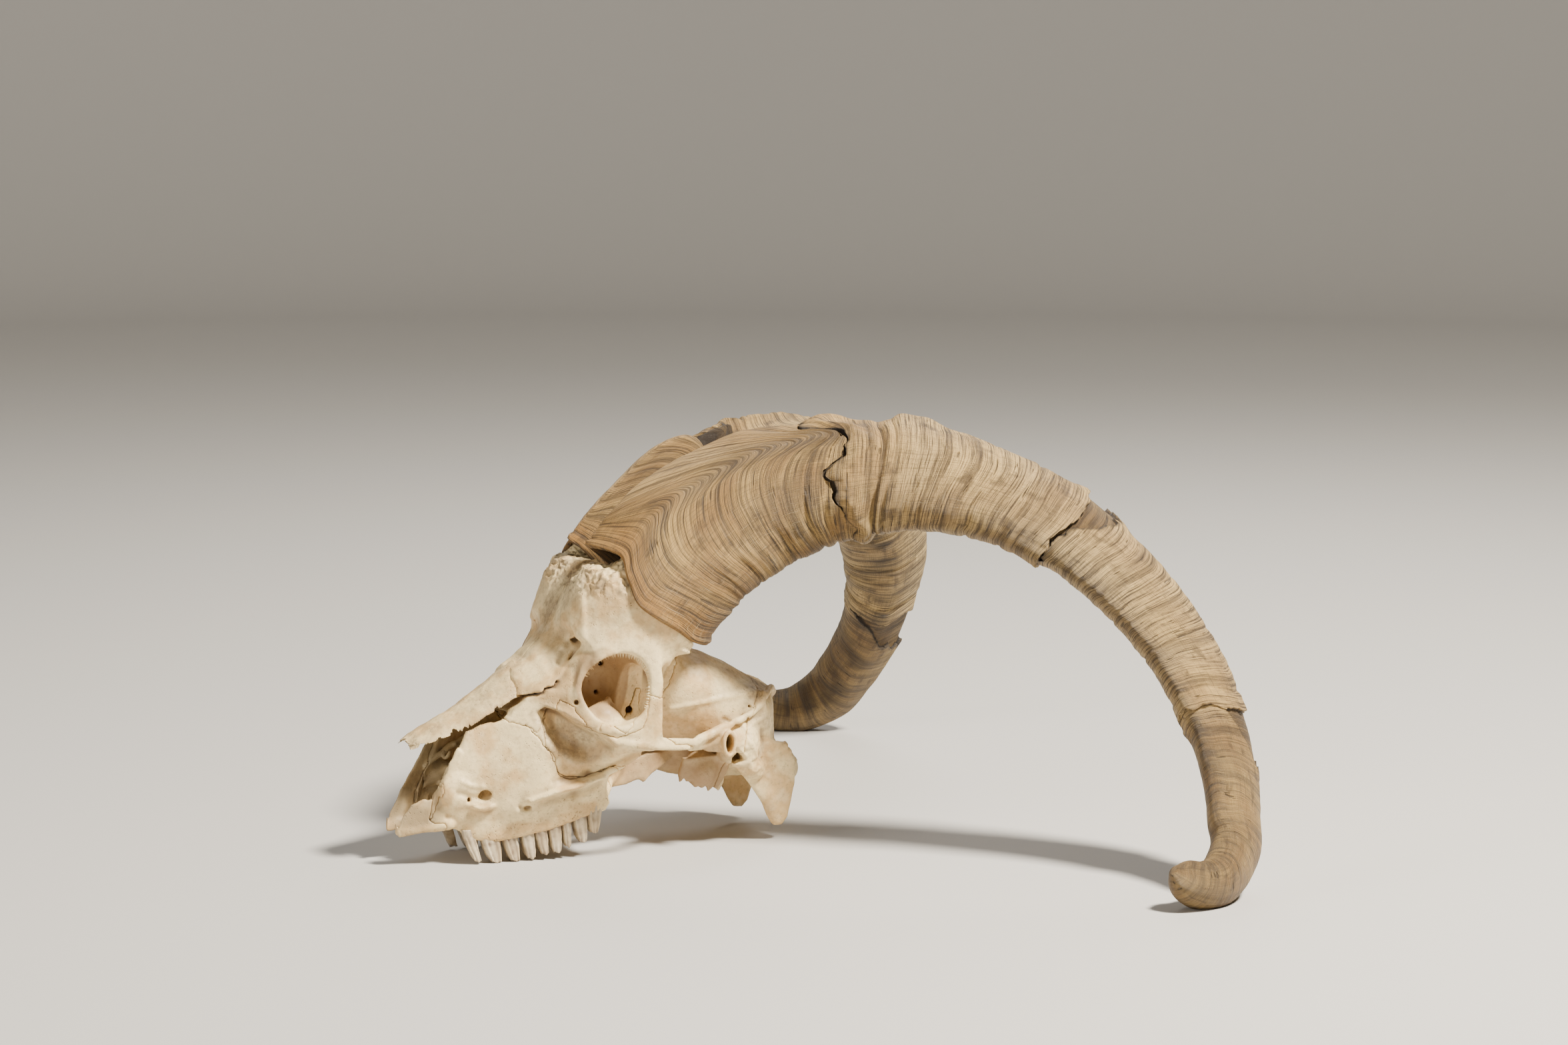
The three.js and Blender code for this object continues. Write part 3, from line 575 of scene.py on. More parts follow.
def horn_marks(side, label, seed, ring, turns, line, lead):
    """The marks of a length of horn. line is its first rim, and lead the number of rows inside that rim."""
    facet = bump(turns, 0.05, 0.07) + bump(turns, 1.03, 0.06)
    mottle = 0.7 + 0.3 * cloud(pad(ring / 18, turns * 5), seed + 33)
    inner = ease(0.5, 0.75, turns) * (1 - ease(0.85, 0.97, turns))
    worn = 0.75 * ease(0.5, 0.9, 0.5 + 0.5 * cloud(pad(ring / 6, turns * 3), seed + 31)) * inner
    amber = (0.7 * facet * (1 - ease(60, 170, ring)) + 0.85 * (1 - ease(3, 26, ring))
             + 0.7 * bump(ring, 250, 9) + 0.4 * (1 - ease(0, 90, ring)) * bump(turns, 0.42, 0.2))
    pale = (0.75 * ease(130, 180, ring) * (1 - ease(380, 430, ring)) * mottle
            + 0.5 * facet * bump(ring, 75, 40))
    grey = (0.95 * bump(turns, 0.135, 0.045) * ease(14, 50, ring) * (1 - ease(125, 160, ring))
            + 0.78 * ease(395, 420, ring) + 0.55 * bump(turns, 0.30, 0.10) * bump(ring, 100, 45)
            + 0.7 * bump(turns, 0.5, 0.045) + worn)
    pale, grey, dark = np.clip(pale, 0, 1), np.clip(grey, 0, 1), np.zeros_like(ring)
    if side == RIGHT:   # weathered patches down the middle of the inner cheek
        patch = ease(0.30, 0.72, 0.5 + 0.5 * cloud(pad(ring / 7, turns * 9), 91))
        dark = 0.62 * patch * bump(turns, 0.73, 0.13) * ease(150, 200, ring)
        edges = bump(turns, 0.95, 0.07) + bump(turns, 0.53, 0.05)
        pale = np.clip(pale + 0.5 * ease(160, 210, ring) * edges, 0, 1)
    # Painted shade: the rows that turn in under a rim, the step at a rim and the rows under the next length
    # get dark.
    inside = np.linspace(1, 0, lead)[:, None]   # 1 at the innermost row, 0 at the rim
    if label == "base":
        dark[:lead] = 0.35 + 0.65 * inside
    else:
        dark[:lead] = 0.25 + 0.75 * inside if label == "upper" else 0.8 * bump(inside, 0.0, 0.06)
        grey[:lead], pale[:lead] = 0.8, 0.0
    # painted shade under the next length
    if label != "tip":
        dark[-END_ROWS:] = 0.9
    # painted shade along the step at the rim
    if label != "base":
        dark += 0.75 * bump(ring, line, 1.3)
    # painted shade in the recess under a peeled rim
    if label in PEELED:   # the layer beneath shows grey
        dark[:lead] = np.maximum(dark[:lead], 0.38)
    return {
        "ring": ring + 1.2 * cloud(pad(ring / 22, turns * 9), seed + 30), "around": turns * 2 * math.pi * 26,
        "amber": np.clip(amber, 0, 1), "pale": pale, "grey": grey, "calm": ease(400, 432, ring),
        "woven": np.clip(0.9 * bump(turns, 0.40, 0.12) + 0.15, 0, 1) * (1 - ease(140, 300, ring) * 0.5),
        "dark": np.clip(dark, 0, 1),
    }


def horn_length(side, label, start, end, around):
    """One length of the sheath: rows follow the growth lines, and both ends turn in to a smaller sleeve.
    radius = section * (1 + swelling at the rims) + relief."""
    seed = (3 if side == LEFT else 71) + int(start)
    s = np.arange(around) / around
    rows = int((end - start) / (0.8))
    tear_start, tear_end, shreds = rim_lines(side, label, seed, s)
    line0, line1 = start + tear_start, end + tear_end
    ring = line0 + (line1 - line0) * np.linspace(0, 1, rows)[:, None]
    turns = np.broadcast_to(s, ring.shape)
    rise = RIM_RISE[label]
    swell = 1 + rise[0] * np.exp(-(ring - line0) / 8.0) + rise[1] * np.exp(-(line1 - ring) / 13.0)
    swell = swell + 0.009 * shreds * np.exp(-(ring - line0) / 4.5)
    if label == "upper":   # a collar beyond the crack
        collar = 0.10 + 0.05 * bump(s, 0.0, 0.06) + 0.05 * bump(s, 1.0, 0.05)
        swell = swell + collar * bump(ring, line0 + 8, 6.5)
    relief = growth_relief(ring, turns, side)
    if label == "base":   # a thin raised band follows the rim
        relief = relief * ease(0, 9, ring) + 0.9 * bump(ring, 2.2, 1.4) - 0.7 * bump(ring, 5.2, 1.1)
        lead = sleeve(s, line0, 0.10, 26.0, 14)
    else:
        relief = relief + 0.5 * layered(pad(ring / 3, turns * 22), seed + 2, 3) * np.exp(-(ring - line0) / 7)
        lead = sleeve(s, line0, 0.075, -24.0, 26)
    if label in PEELED:
        lead = peeled_layer(s, line0, PEELED[label][0], side)
    parts = [[a[::-1] for a in lead], [ring, turns, swell, relief]]
    if label != "tip":
        parts.append(sleeve(s, line1, 0.105, 5.0, END_ROWS))
    ring, turns, swell, relief = (np.concatenate(values) for values in zip(*parts))
    co, along = horn_surface(side, ring, turns, swell)
    out = unit(co - horn_surface(side, ring, turns, swell * 0.96)[0])
    tip_fade = 1 - ease(HORN_END - 14, HORN_END - 2, along)
    co = co + out * (relief * tip_fade)[..., None]
    co = co + 0.35 * np.stack([cloud(co / 11.0 + k * 5, seed + 20 + k) for k in range(3)], -1)
    co[..., 2] = np.maximum(co[..., 2], 0.15 + 0.12 * cloud(co / 2.0, 5))   # nothing sinks into the floor
    marks = horn_marks(side, label, seed, ring, turns, line0, len(lead[0]))
    return with_marks(co, marks, tube_faces(len(ring), around, flip=side > 0))


def with_marks(co, marks, faces):
    """A grid's points with its poles, its faces, and the marks that go with the points."""
    values = [np.broadcast_to(mark, co.shape[:2])[..., None] for mark in marks.values()]
    full = with_poles(np.concatenate([co, *values], -1))
    return full[:, :3], faces, {key: full[:, 3 + i] for i, key in enumerate(marks)}


for word, side in SIDES.items():
    for label, start, end, columns in LENGTHS:
        points, faces, marks = horn_length(side, label, start, end, columns)
        piece(f"sheath_{label}_{word}", points, faces, HORNY, [f"horn_{label}_{word}"], marks)


# --------------------------------------------------------------------------- the bone as a distance field

class Field:
    """Signed distance in millimetres on a grid over one half of the skull, where y is the distance from the
    middle plane. add and cut work on the block of the grid between two corners."""

    def __init__(self, low, high, step):
        self.step = step
        self.axes = [np.arange(a, b, step, dtype=np.float32) + (step / 2 if i == 1 else 0)
                     for i, (a, b) in enumerate(zip(low, high))]
        self.field = np.full([len(a) for a in self.axes], 30, np.float32)

    def block(self, low, high):
        spans = tuple(slice(*np.searchsorted(axis, (a, b))) for axis, a, b in zip(self.axes, low, high))
        x, y, z = (axis[span] for axis, span in zip(self.axes, spans))
        return spans, (x[:, None, None], y[None, :, None], z[None, None, :])

    def add(self, made, soft):
        shape, low, high = made
        spans, grid = self.block(low, high)
        self.field[spans] = join(self.field[spans], shape(*grid), soft)

    def cut(self, made, soft):
        shape, low, high = made
        spans, grid = self.block(low, high)
        self.field[spans] = -join(-self.field[spans], shape(*grid), soft)

    def draw(self, points, height, width, nearest, farthest=70.0):
        """Raise the surface (or sink it, for a negative height) along a line of the side view, as a bell
        of this width."""
        low, high = np.min(points, 0) - 3 * width, np.max(points, 0) + 3 * width
        spans, (x, y, z) = self.block((low[0], nearest, low[1]), (high[0], farthest, high[1]))
        near = np.abs(self.field[spans]) < 6
        bell = np.exp(-(line_distance(points, x, z) / width) ** 2)
        self.field[spans] -= (height * bell * near).astype(np.float32)


def square_gap(a, b, x, z):
    """Squared distance from (x, z) to the segment from a to b."""
    d = b - a
    t = np.clip(((x - a[0]) * d[0] + (z - a[1]) * d[1]) / (d @ d), 0, 1)
    return (x - a[0] - t * d[0]) ** 2 + (z - a[1] - t * d[1]) ** 2


def line_distance(points, x, z):
    """Distance from (x, z) to an open line of points."""
    points = np.array(points, float)
    gap = np.full(np.broadcast(x, z).shape, 1e9, np.float32)
    for a, b in zip(points, points[1:]):
        gap = np.minimum(gap, square_gap(a, b, x, z))
    return np.sqrt(gap)


def join(a, b, soft):
    """Smooth minimum: a and b flow into each other over the distance soft."""
    h = np.clip(0.5 + 0.5 * (b - a) / soft, 0, 1)
    return (b + (a - b) * h - soft * h * (1 - h)).astype(np.float32)


def meet(a, b, soft):
    """Smooth maximum."""
    return -join(-a, -b, soft)


def egg(centre, radii, axes=None):
    """Distance to an ellipsoid: |p/r| (|p/r| - 1) / |p/r^2|. Returns the shape and its box."""
    centre, radii = np.array(centre, float), np.array(radii, float)
    axes = np.eye(3) if axes is None else np.array(axes, float)

    def shape(x, y, z):
        q = [(x - centre[0]) * a[0] + (y - centre[1]) * a[1] + (z - centre[2]) * a[2] for a in axes]
        far = sum((c / r) ** 2 for c, r in zip(q, radii)) ** 0.5 + 1e-6
        slope = sum((c / r**2) ** 2 for c, r in zip(q, radii)) ** 0.5 + 1e-6
        return far * (far - 1) / slope
    reach = (radii.max() if not np.allclose(axes, np.eye(3)) else radii) + 6.0
    return shape, centre - reach, centre + reach


def rod(points, radii, margin=6.0):
    """Distance to a chain of round cones through points with these radii."""
    points, radii = np.array(points, float), np.broadcast_to(np.array(radii, float), len(points))

    def shape(x, y, z):
        best = None
        for a, b, ra, rb in zip(points, points[1:], radii, radii[1:]):
            d = b - a
            t = np.clip(((x - a[0]) * d[0] + (y - a[1]) * d[1] + (z - a[2]) * d[2]) / (d @ d), 0, 1)
            gap = ((x - a[0] - t * d[0]) ** 2 + (y - a[1] - t * d[1]) ** 2
                   + (z - a[2] - t * d[2]) ** 2) ** 0.5
            gap = gap - (ra + (rb - ra) * t)
            best = gap if best is None else np.minimum(best, gap)
        return best
    reach = radii.max() + margin
    return shape, points.min(0) - reach, points.max(0) + reach


def outline(points, x, z):
    """Signed distance from (x, z) to a closed outline, negative inside."""
    points = np.array(points, float)
    shape = np.broadcast(x, z).shape
    gap, inside = np.full(shape, 1e9, np.float32), np.zeros(shape, bool)
    for a, b in zip(points, np.roll(points, -1, 0)):
        gap = np.minimum(gap, square_gap(a, b, x, z))
        slant = (b[0] - a[0]) * (z - a[1]) / (b[1] - a[1] + 1e-12) + a[0]
        inside ^= ((a[1] > z) != (b[1] > z)) & (x < slant)
    return np.where(inside, -1, 1) * np.sqrt(gap)


def oval(x, z, centre, radii):
    """How far out (x, z) is in an oval of the side view: 0 at its centre and 1 on its edge."""
    return np.sqrt(((x - centre[0]) / radii[0]) ** 2 + ((z - centre[1]) / radii[1]) ** 2)


def plate(points, middle, half, soft=1.0):
    """A plate: an outline in the side view, half thick on each side of y = middle, which is a number or a
    function of x and z."""
    points = np.array(points, float)

    def shape(x, y, z):
        flat = outline(points, x, z)
        centre = middle(x, z) if callable(middle) else middle
        return meet(flat, np.abs(y - centre) - half, soft)
    middles = [middle(p[0], p[1]) if callable(middle) else middle for p in points]
    low = np.array([points[:, 0].min(), min(middles), points[:, 1].min()]) - half - 5
    high = np.array([points[:, 0].max(), max(middles), points[:, 1].max()]) + half + 5
    return shape, low, high


def draped(points, smooth=2.0):
    """A smooth height over (x, z) that passes near points (x, z, height): a thin-plate spline."""
    points = np.array(points, float)
    p, v = points[:, :2], points[:, 2]
    n = len(p)

    def kernel(square):
        return 0.5 * square * np.log(square + 1e-9)

    system = np.zeros((n + 3, n + 3))
    system[:n, :n] = kernel(((p[:, None] - p[None]) ** 2).sum(-1)) + smooth * np.eye(n)
    system[:n, n:] = np.c_[np.ones(n), p]
    system[n:, :n] = system[:n, n:].T
    weights = np.linalg.solve(system, np.r_[v, 0, 0, 0])

    def height(x, z):
        total = weights[n] + weights[n + 1] * x + weights[n + 2] * z + 0 * x * z
        for (a, b), w in zip(p, weights):
            total = total + w * kernel((x - a) ** 2 + (z - b) ** 2)
        return total
    return height


def sided(height, border, round_edge):
    """A body of half width height(x, z) inside the outline border, its edge rounded by round_edge(x, z)."""
    border = np.array(border, float)

    def shape(x, y, z):
        w = height(x, z)
        gx, gz = np.gradient(w[:, 0, :], GRAIN)
        side = (y - w) / np.sqrt(1 + gx**2 + gz**2)[:, None, :]
        return meet(side, outline(border, x, z), round_edge(x, z))
    low = np.array([border[:, 0].min() - 6, 0, border[:, 1].min() - 6])
    high = np.array([border[:, 0].max() + 6, 80, border[:, 1].max() + 6])
    return shape, low, high


# Half width of the face by rows: x, bottom, top, then the half widths from bottom to top.
FACE_SHARES = (0, 0.15, 0.3, 0.5, 0.7, 0.85, 1)
FACE_ROWS = (
    (-168, 22, 34, 11, 12, 13, 13, 12, 11, 9), (-160, 20, 50, 13, 15, 17, 18, 17.5, 16.5, 15),
    (-150, 15, 73, 19, 21, 22, 21.5, 19.5, 18, 17), (-140, 13, 78, 22, 24, 25.5, 26, 23, 20.5, 18.5),
    (-130, 12.5, 82, 24, 26, 29, 30, 27, 23.5, 20.5), (-120, 12.5, 88, 26, 29, 33, 34, 32, 28, 23),
    (-110, 15, 94, 27.5, 31, 36.5, 37, 36, 33, 29), (-100, 18, 104, 29, 32, 38.5, 38.5, 41, 40.5, 30),
    (-90, 21.5, 118, 30, 32.5, 38.5, 47, 50, 45.5, 28),
)
FACE_MORE = (
    (-70, 28, 31), (-70, 38, 32), (-71, 46, 38), (-70, 54, 43), (-70, 59, 50), (-70, 64, 57),
    (-70, 70, 58.5), (-70, 85, 59), (-70, 98, 58), (-70, 110, 56), (-70, 118, 53.5), (-70, 124, 50.5),
    (-70, 132, 44), (-70, 142, 41), (-70, 152, 37), (-70, 160, 28), (-58, 59, 50), (-58, 63, 57),
    (-58, 70, 60), (-58, 85, 60), (-58, 98, 60), (-58, 110, 58), (-58, 120, 54), (-58, 128, 50),
    (-58, 140, 47), (-58, 152, 38), (-46, 60, 57), (-46, 66, 59.5), (-46, 80, 60), (-46, 98, 58),
    (-46, 110, 53), (-46, 120, 48), (-46, 135, 43), (-46, 150, 30), (-91, 136, 5), (-89, 136, 12),
    (-87, 136, 17), (-85, 136, 20.5), (-82, 136, 25), (-78, 136, 31), (-74, 136, 38), (-88, 152, 5),
    (-85.5, 152, 11), (-82.5, 152, 16.5), (-79.5, 152, 20.5), (-76, 152, 26), (-72, 152, 33),
    (-80, 161, 6), (-77, 161, 12), (-74, 161, 17), (-70, 161, 24), (-94.5, 128, 6), (-92, 128, 12),
    (-89.5, 128, 17), (-87.5, 128, 22), (-85, 128, 27.5), (-82, 128, 34), (-99, 120, 6),
    (-96.5, 120, 12), (-93.5, 120, 17), (-91, 120, 21), (-89, 120, 26.5), (-86.5, 120, 33),
    (-83, 121, 42), (-110, 111, 8), (-105, 112, 14), (-101, 111, 19), (-97, 111, 26), (-93, 111, 34),
    (-90, 111, 41), (-87, 114, 44), (-116, 100, 18), (-110, 101, 23), (-109, 95, 31), (-103, 104, 27),
    (-97, 103, 36), (-94, 100, 42.5), (-96, 94, 44.5), (-96, 86, 46), (-94, 78, 49), (-99, 42, 38.8),
    (-99, 47, 36.5), (-85, 44.5, 39), (-85, 49, 38), (-110, 37, 37), (-118, 33, 35.5), (-76, 20, 30.5),
    (-98, 31, 33), (-85, 35, 34), (-76, 36, 33), (-112, 27, 32), (-90, 62, 43), (-80, 56, 43),
    (-80, 63, 50), (-86, 70, 49),
)
FACE_BORDER = (
    (-168, 24), (-169, 28), (-166, 37), (-161, 48), (-154, 60), (-147.5, 74), (-140, 77), (-131, 79),
    (-125, 82), (-121, 85.5), (-118.5, 94), (-119, 101), (-117, 104.5), (-108, 109.5), (-99, 119),
    (-93.5, 128), (-88.3, 137), (-83, 146), (-79.5, 151), (-76, 154), (-71, 156), (-66, 157), (-56, 155),
    (-49, 148), (-46, 132), (-45, 110), (-46.5, 97), (-48, 80), (-47, 69), (-46, 64.5), (-52, 63),
    (-60, 61), (-67, 54), (-71, 46), (-70, 38), (-68, 30), (-71, 26), (-88, 21.5), (-101, 17.5),
    (-118, 13.5), (-134, 12), (-149, 14), (-152, 18), (-160, 21),
)
CASE_MORE = (
    (-60, 60, 12), (-60, 80, 17), (-60, 100, 20), (-50, 65, 15), (-50, 80, 19), (-50, 95, 23),
    (-50, 112, 27), (-50, 128, 30), (-60, 160, 20), (-50, 146, 26), (-36, 130, 25), (-36, 118, 30),
    (-30, 54, 13), (-30, 64, 21), (-30, 78, 29), (-30, 95, 32), (-30, 108, 29), (-26, 120, 17),
    (-10, 44, 15), (-10, 54, 25), (-10, 64, 32), (-10, 80, 35), (-10, 95, 32), (-10, 105, 22),
    (-10, 111, 12), (8, 42, 16), (8, 52, 29), (8, 62, 36), (8, 76, 36), (8, 88, 31), (8, 97, 20),
    (8, 103, 10), (22, 42, 20), (22, 52, 29), (22, 64, 35), (22, 76, 34), (22, 86, 26), (22, 93, 12),
    (30, 48, 24), (30, 58, 28), (30, 68, 29), (30, 78, 26), (30, 87, 12), (34, 56, 21), (34, 68, 21.5),
    (34, 77, 20), (38, 56, 13), (38, 68, 12.5), (38, 77, 12), (42, 68, 5), (42, 78, 5),
)
CASE_BORDER = (
    (-66, 110), (-66, 148), (-61, 158), (-52, 152), (-40, 134), (-28, 119), (-15, 110), (-3, 106.5),
    (11, 100), (25.5, 92), (35, 86.5), (41, 83), (42.5, 79), (41, 69), (41, 60), (44, 52), (44, 44),
    (38, 39.5), (20, 38), (0, 36), (-20, 40), (-34, 47), (-50, 56), (-64, 64), (-70, 80),
)


def face_points():
    """The face's rows as points (x, z, half width)."""
    rows = [(x, low + (high - low) * share, width)
            for x, low, high, *widths in FACE_ROWS for share, width in zip(FACE_SHARES, widths)]
    return rows + list(FACE_MORE)


# The horn's bony foot: its middle, and the directions along the horn, to the keel and to the outer cheek.
FOOT_AT, FOOT_ALONG = np.array([-53, 37, 143.0]), np.array([0.644, 0.111, 0.756])
FOOT_KEEL, FOOT_CHEEK = np.array([-0.58, -0.58, 0.58]), np.array([-0.49, 0.81, 0.32])
# The eye socket: its middle, its half sizes, and y where it opens and how deep it is.
ORBIT = dict(x=-74.0, z=97.0, half=18.0, tall=20.6, out=58.0, deep=37.0)

# How far out the socket's rim is, from its back edge over the top, the front and the bottom.
RIM_OUT = (58.5, 56.5, 51.5, 44.5, 45.5, 51.5, 57.5, 59.5, 58.5)


def orbit_cup(x, y, z):
    """The eye socket: an ellipse in the side view that shrinks as sqrt(1 - depth^2) towards the middle
    plane."""
    depth = np.clip((ORBIT["out"] - y) / ORBIT["deep"], 0, 1)
    size = np.sqrt(np.clip(1 - depth**2.2, 0.0005, 1))
    lean = 0.10 * (y - 50) + 0.18 * np.maximum(z - ORBIT["z"], 0)
    e = np.sqrt(((x - ORBIT["x"] - lean) / ORBIT["half"]) ** 2
                + ((z - ORBIT["z"]) / ORBIT["tall"]) ** 2) + 1e-6
    return (e - size) * ORBIT["half"] * 0.9


def foot(x, y, z):
    """The bony foot of the horn: an ellipse across the horn's axis, tapering into the sheath and into the
    forehead."""
    p = [a - b for a, b in zip((x, y, z), FOOT_AT)]
    t, m, n = (p[0] * v[0] + p[1] * v[1] + p[2] * v[2] for v in (FOOT_ALONG, FOOT_KEEL, FOOT_CHEEK))
    n = n - 1.5 + 0.004 * (m - 3) ** 2
    m = np.where(m > 0, m * (1 + 0.55 * ease(-6, 6, t)), m)
    n = np.where(n < 0, n * (1 + 0.8 * ease(-2, 6, t)), n)
    size = 0.93 - 0.07 * ease(-1, 3, t) - 0.0025 * np.clip(t, 0, 60) - 0.010 * np.clip(-t - 2, 0, 40)
    e = np.sqrt((m / 42) ** 2 + (n / 20) ** 2) / size + 1e-6
    return meet((e - 1) * 17 * size, np.abs(t + 4) - 32, 3)


# The hollow of the cheek below the socket lies inside both outlines.
CHEEK_UPPER = [(-114, 84), (-107.4, 88.4), (-99.9, 85.6), (-91.5, 79.5), (-81, 73.2), (-73.5, 65.5),
               (-60, 40), (-130, 40)]
CHEEK_LOWER = [(-114, 100), (-114, 84), (-110.5, 70), (-103, 62), (-94, 55.5), (-85, 53.5), (-76, 56),
               (-70, 60), (-66, 100)]
# The crack that runs on from the fissure.
CRACK = [(-120, 90), (-115, 91.3), (-111, 92.9), (-107.5, 94.2), (-106, 96.6), (-102, 97.8), (-100, 100.5)]
# Lines drawn on the surface: points (x, z), height, width, and the least y that they reach.
RIDGES = (
    ([(-31, 79), (-18, 82.0), (-4, 84.5), (10, 85.5), (24, 86)], 1.1, 1.6, 20),
    ([(-36, 116), (-17, 110.5), (0, 103), (14, 96.5), (26, 91)], 1.0, 1.5, 10),
    ([(-46, 107), (-44, 97), (-42.5, 84), (-42, 74)], -1.9, 2.4, 25),
    ([(-36, 98), (-34, 104), (-29, 109)], -0.7, 0.7, 20),
    ([(-83.5, 156), (-85, 146), (-86, 135), (-87.6, 125), (-92, 117)], 0.8, 1.8, 12),
    ([(-88.8, 121), (-92, 116), (-97, 109.5)], -1.3, 1.4, 20),
    (CRACK, -2.4, 0.62, 18),
    ([(-100, 100.5), (-97.5, 103), (-95, 107.5), (-93, 109)], -0.6, 0.7, 25),
    ([(-118, 36), (-109, 38.8), (-100, 41.5), (-88, 44), (-77, 46.6)], 1.5, 1.4, 20),
    ([(-112, 32.5), (-98, 36), (-84, 39.5), (-76, 42)], -1.7, 2.8, 20),
    ([(-152, 47), (-147, 44.5), (-141, 44)], 0.9, 1.4, 15),
    ([(-154, 41), (-148, 38.5), (-142, 37.5)], -1.2, 1.8, 15),
    ([(-121, 32), (-118, 31)], -1.8, 1.8, 20),
    ([(-149, 34), (-144, 32.5), (-138, 34)], 0.9, 1.3, 15),
    ([(-104, 46), (-95, 47.5), (-84, 49.5)], -0.9, 1.8, 20),
    ([(-113, 83), (-108, 88), (-100, 85.6), (-91, 79.5), (-81, 73.3), (-74, 66.5)], 0.7, 1.5, 30),
    ([(-131, 30), (-126, 40), (-128, 52)], 0.5, 5.0, 15),
    ([(10, 60), (14, 52), (19, 45)], 1.0, 2.0, 20),
    ([(2, 56), (7, 50), (9, 42)], -1.0, 1.4, 20),
    ([(20, 64), (23, 55), (24, 47)], -0.9, 1.8, 15),
    ([(24, 78), (21, 71), (13, 69)], 0.9, 1.3, 15),
    ([(-3, 73), (5, 68.5), (10, 63)], -0.8, 1.2, 25),
)


def face_rounding(x, z):
    """How softly the face's flat side turns into its edge."""
    return 2.5 + 2.5 * ease(-122, -105, x) * ease(90, 110, z) + 0 * z


def face_and_case(solid, face):
    """The face with the forehead, and the braincase."""

    def half_width(x, z):
        recess = 11.5 * ease(0, 3.0, -outline(CHEEK_UPPER, x, z)) * ease(0, 11, -outline(CHEEK_LOWER, x, z))
        roots = 0.5 * np.sin((x + 149) / 4.1) * bump(z, 22 + (x + 120) * 0.18, 7)
        roots = roots * ease(-66, -74, x) * (x < -70)
        return face(x, z) - recess + roots

    solid.add(sided(half_width, FACE_BORDER, face_rounding), 0.5)
    solid.add(sided(draped(CASE_MORE), CASE_BORDER, lambda x, z: 9.0 - 3 * ease(20, 40, x) + 0 * z), 5.0)


def horn_foot_and_socket(solid):
    """The foot of the horn flows into the forehead, and the socket and the room behind it are cut out."""
    solid.add((foot, (-100, 0, 100), (0, 72, 188)), 9.0)
    solid.cut(egg((-50, 41, 86), (19, 15.5, 26)), 2.5)
    solid.cut(egg((-44, 50, 84), (9, 16, 22)), 2.0)
    solid.cut((orbit_cup, (-104, 12, 66), (-44, 69, 128)), 1.6)


def cheek(solid):
    """The bar behind the eye, the cheek arch, and the ridges over the ear and from cheek to socket."""
    solid.add(rod([(-60, 49, 126), (-54.5, 54.5, 118), (-52, 57, 109), (-51, 58.5, 98), (-51.5, 59, 86),
                   (-53, 59, 75), (-56, 58, 68)],
              (5.0, 3.4, 2.7, 2.4, 2.4, 2.9, 4.0)), 3.5)
    solid.add(rod([(-57, 51, 119), (-47, 45, 120), (-38, 39, 117), (-28, 33, 112)], (3.0, 3.0, 2.2, 1.5)),
              5.0)
    solid.add(rod([(-76, 56, 70), (-66, 58.5, 67.5), (-56, 59.3, 66.2), (-46, 58.8, 64.6), (-38, 57.6, 62.8),
                   (-31, 56, 61.4)], (2.4, 2.6, 2.6, 1.9, 1.5, 0.6)), 2.0)
    solid.add(rod([(-47, 58.5, 68), (-38, 56.5, 66), (-28, 52.5, 64.2), (-18, 48, 66.5), (-8, 45, 69.5),
                   (3, 42.5, 72.5), (13, 39, 75.5), (20, 35, 79), (25, 30, 83)],
              (1.4, 2.0, 2.6, 2.6, 2.4, 2.0, 1.8, 1.7, 1.6)), 2.2)
    solid.add(rod([(-28, 50, 61.5), (-20, 44, 61.5), (-14, 40, 62)], (2.6, 3.4, 3.4)), 4.0)
    solid.add(rod([(25, 30, 83), (31, 23, 85), (36, 14, 84), (40.5, 5, 80.5), (41, 0, 80)],
                  (1.6, 1.8, 2.0, 2.2, 2.4)), 2.5)
    solid.add(rod([(-117, 36, 36), (-109, 37.8, 38.6), (-100, 39, 41.5), (-88, 39.8, 44.0), (-76, 40.2, 47),
                   (-68, 45, 53), (-60, 52, 60)],
              (0.7, 1.2, 1.4, 1.5, 1.5, 1.7, 1.8)), 1.3)


def socket_rim(solid):
    """The rim of the socket, the lacrimal swelling on its floor and a ledge under it."""
    turn = np.linspace(0, 2 * math.pi, 25)
    lateral = through(np.linspace(0, 2 * math.pi, 9), RIM_OUT, turn)
    along = ORBIT["x"] + 0.4 + 19.4 * np.cos(turn) + 3.6 * np.clip(np.sin(turn), 0, 1)
    rim = np.c_[along, lateral - 0.4, ORBIT["z"] + 22.0 * np.sin(turn)]
    solid.add(rod(rim, 1.3 + 1.1 * np.clip(-np.sin(turn), 0, 1)), 2.6)
    solid.add(egg((-74, 40, 76), (9, 9, 12), [(0.9, 0.1, 0.42), (-0.1, 1, 0), (-0.42, 0, 0.9)]), 4.0)
    solid.add(rod([(-86, 40, 80), (-78, 38, 84), (-71.5, 36.5, 89.5)], (4.0, 3.0, 1.0)), 3.0)
    solid.add(rod([(-71.5, 36.5, 89.5), (-67, 35, 82), (-64, 36, 75)], (0.9, 2.0, 3.2)), 2.5)


